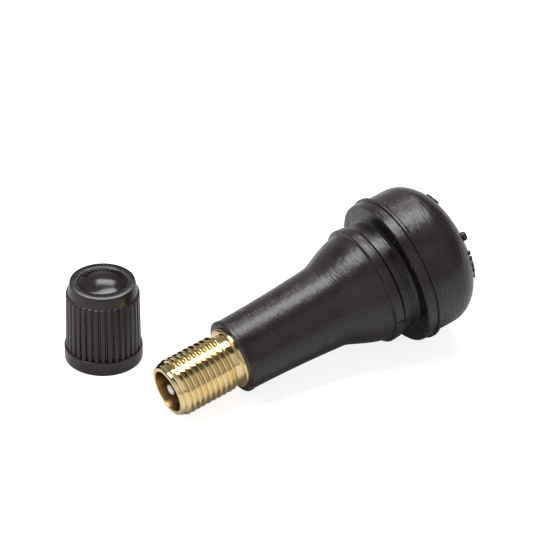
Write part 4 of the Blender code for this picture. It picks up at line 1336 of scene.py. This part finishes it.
class TYREVALVE_OT_stage(ValveOperator):
    """Set up the floor, the lights, the room and the camera"""

    bl_idname = "tyre_valve.stage"
    bl_label = "Stage"

    def execute(self, context):
        s = context.scene.valve_stage
        start_piece()
        bpy.ops.mesh.primitive_plane_add(size=FLOOR_SIZE)
        floor = bpy.context.object
        floor.name = "studio_floor"
        floor.data.materials.append(self.floor_finish(s.floor))
        for power, lamp in zip((s.softbox_power, s.back_power, s.fill_power), LAMPS):
            self.lamp(power, *lamp)
        self.room(s.room_level)
        self.camera(s)
        context.scene.view_settings.view_transform = "Standard"
        return {"FINISHED"}

    def floor_finish(self, shade):
        """White, with a light of its own that shows it white and keeps a faint shadow."""
        material = bpy.data.materials.new("white_floor")
        material.use_nodes = True
        nodes = Nodes(material.node_tree)
        shader = material.node_tree.nodes["Principled BSDF"]
        shader.inputs["Base Color"].default_value = (*shade, 1)
        shader.inputs["Roughness"].default_value = 0.9
        shader.inputs["Specular IOR Level"].default_value = 0.0
        shader.inputs["Emission Color"].default_value = (1, 1, 1, 1)
        seen, mirrored = nodes.ray_kinds()
        direct = nodes.math("MULTIPLY", seen, FLOOR_SEEN)
        reflected = nodes.math("MULTIPLY", mirrored, FLOOR_MIRRORED)
        nodes.link(nodes.math("ADD", direct, reflected), shader.inputs["Emission Strength"])
        return material

    def lamp(self, power, name, place, size, target):
        """A soft rectangle of light that faces its target."""
        data = bpy.data.lights.new(name, "AREA")
        data.shape = "RECTANGLE"
        data.size, data.size_y = size
        data.energy = power
        lamp = bpy.data.objects.new(name, data)
        lamp.location = place
        facing = (Vector(target) - Vector(place)).to_track_quat("-Z", "Y")
        lamp.rotation_euler = facing.to_euler()
        bpy.context.scene.collection.objects.link(lamp)

    def room(self, level):
        """White to the camera, walls to reflections and an even light to all else."""
        world = bpy.data.worlds.new("studio_room")
        bpy.context.scene.world = world
        world.use_nodes = True
        nodes = Nodes(world.node_tree)
        background = world.node_tree.nodes["Background"]
        direction = nodes.add("ShaderNodeTexCoord")
        parts = nodes.split(direction.outputs["Generated"])
        front_wall = self.ramp(nodes, parts["Z"], FRONT_WALL)
        back_wall = self.ramp(nodes, parts["Z"], BACK_WALL)
        behind = self.ramp(nodes, parts["Y"], BEHIND)
        walls = nodes.mix_colour(behind, front_wall, back_wall)
        rightwards = nodes.math("ADD", nodes.math("MULTIPLY", parts["X"], 0.5), 0.5)
        reflected = nodes.math("MULTIPLY", walls, self.ramp(nodes, rightwards, ACROSS))
        seen, mirrored = nodes.ray_kinds()
        lit = nodes.mix_colour(mirrored, (level, level, level), reflected)
        nodes.link(nodes.mix_colour(seen, lit, (1, 1, 1)), background.inputs["Color"])

    def ramp(self, nodes, value, stops):
        """Brightness between stops of (value, brightness)."""
        ramp = nodes.add("ShaderNodeValToRGB")
        while len(ramp.color_ramp.elements) < len(stops):
            ramp.color_ramp.elements.new(0.5)
        for element, (place, shade) in zip(ramp.color_ramp.elements, stops):
            element.position = place
            element.color = (shade, shade, shade, 1)
        nodes.link(value, ramp.inputs["Fac"])
        return ramp.outputs["Color"]

    def camera(self, s):
        """Looks at the middle of the footprint from its azimuth and elevation, then shifts."""
        data = bpy.data.cameras.new("camera")
        data.lens = s.camera_lens
        data.sensor_width = 36
        data.clip_end = 10
        camera = bpy.data.objects.new("camera", data)
        azimuth, elevation = math.radians(s.azimuth), math.radians(s.elevation)
        right = Vector((math.cos(azimuth), math.sin(azimuth), 0))
        back = Vector((
            math.sin(azimuth) * math.cos(elevation),
            -math.cos(azimuth) * math.cos(elevation),
            math.sin(elevation),
        ))
        up = back.cross(right)
        place = back * s.distance + right * s.shift_right + up * s.shift_up
        turn = Matrix((right, up, back)).transposed()
        camera.matrix_world = Matrix.Translation(place) @ turn.to_4x4()
        bpy.context.scene.collection.objects.link(camera)
        bpy.context.scene.camera = camera


class VIEW3D_PT_tyre_valve(bpy.types.Panel):
    """Steps and sizes of the tyre valve"""

    bl_label = "Tyre Valve"
    bl_idname = "VIEW3D_PT_tyre_valve"
    bl_space_type = "VIEW_3D"
    bl_region_type = "UI"
    bl_category = "Tyre Valve"

    def draw(self, context):
        for step in STEPS:
            self.layout.operator(step.bl_idname)
        for group in GROUPS:
            box = self.layout.box()
            settings = getattr(context.scene, group)
            for name in settings.bl_rna.properties.keys():
                if name not in ("rna_type", "name"):
                    box.prop(settings, name)


STEPS = (
    TYREVALVE_OT_stage,
    TYREVALVE_OT_rubber,
    TYREVALVE_OT_stem,
    TYREVALVE_OT_plug,
    TYREVALVE_OT_pin,
    TYREVALVE_OT_spring,
    TYREVALVE_OT_small_parts,
    TYREVALVE_OT_cap,
)
GROUPS = {
    "valve_rubber": RubberSizes,
    "valve_stem": StemSizes,
    "valve_core": CoreSizes,
    "valve_cap": CapSizes,
    "valve_finishes": Finishes,
    "valve_stage": StageSettings,
}


def register():
    for kind in (*GROUPS.values(), *STEPS, VIEW3D_PT_tyre_valve):
        bpy.utils.register_class(kind)
    for name, kind in GROUPS.items():
        setattr(bpy.types.Scene, name, PointerProperty(type=kind))


def unregister():
    for name in GROUPS:
        delattr(bpy.types.Scene, name)
    for kind in (VIEW3D_PT_tyre_valve, *reversed(STEPS), *reversed(GROUPS.values())):
        bpy.utils.unregister_class(kind)


def main():
    register()
    bpy.ops.tyre_valve.stage()
    bpy.ops.tyre_valve.rubber()
    bpy.ops.tyre_valve.stem()
    bpy.ops.tyre_valve.plug()
    bpy.ops.tyre_valve.pin()
    bpy.ops.tyre_valve.spring()
    bpy.ops.tyre_valve.small_parts()
    bpy.ops.tyre_valve.cap()


if __name__ == "__main__":
    main()
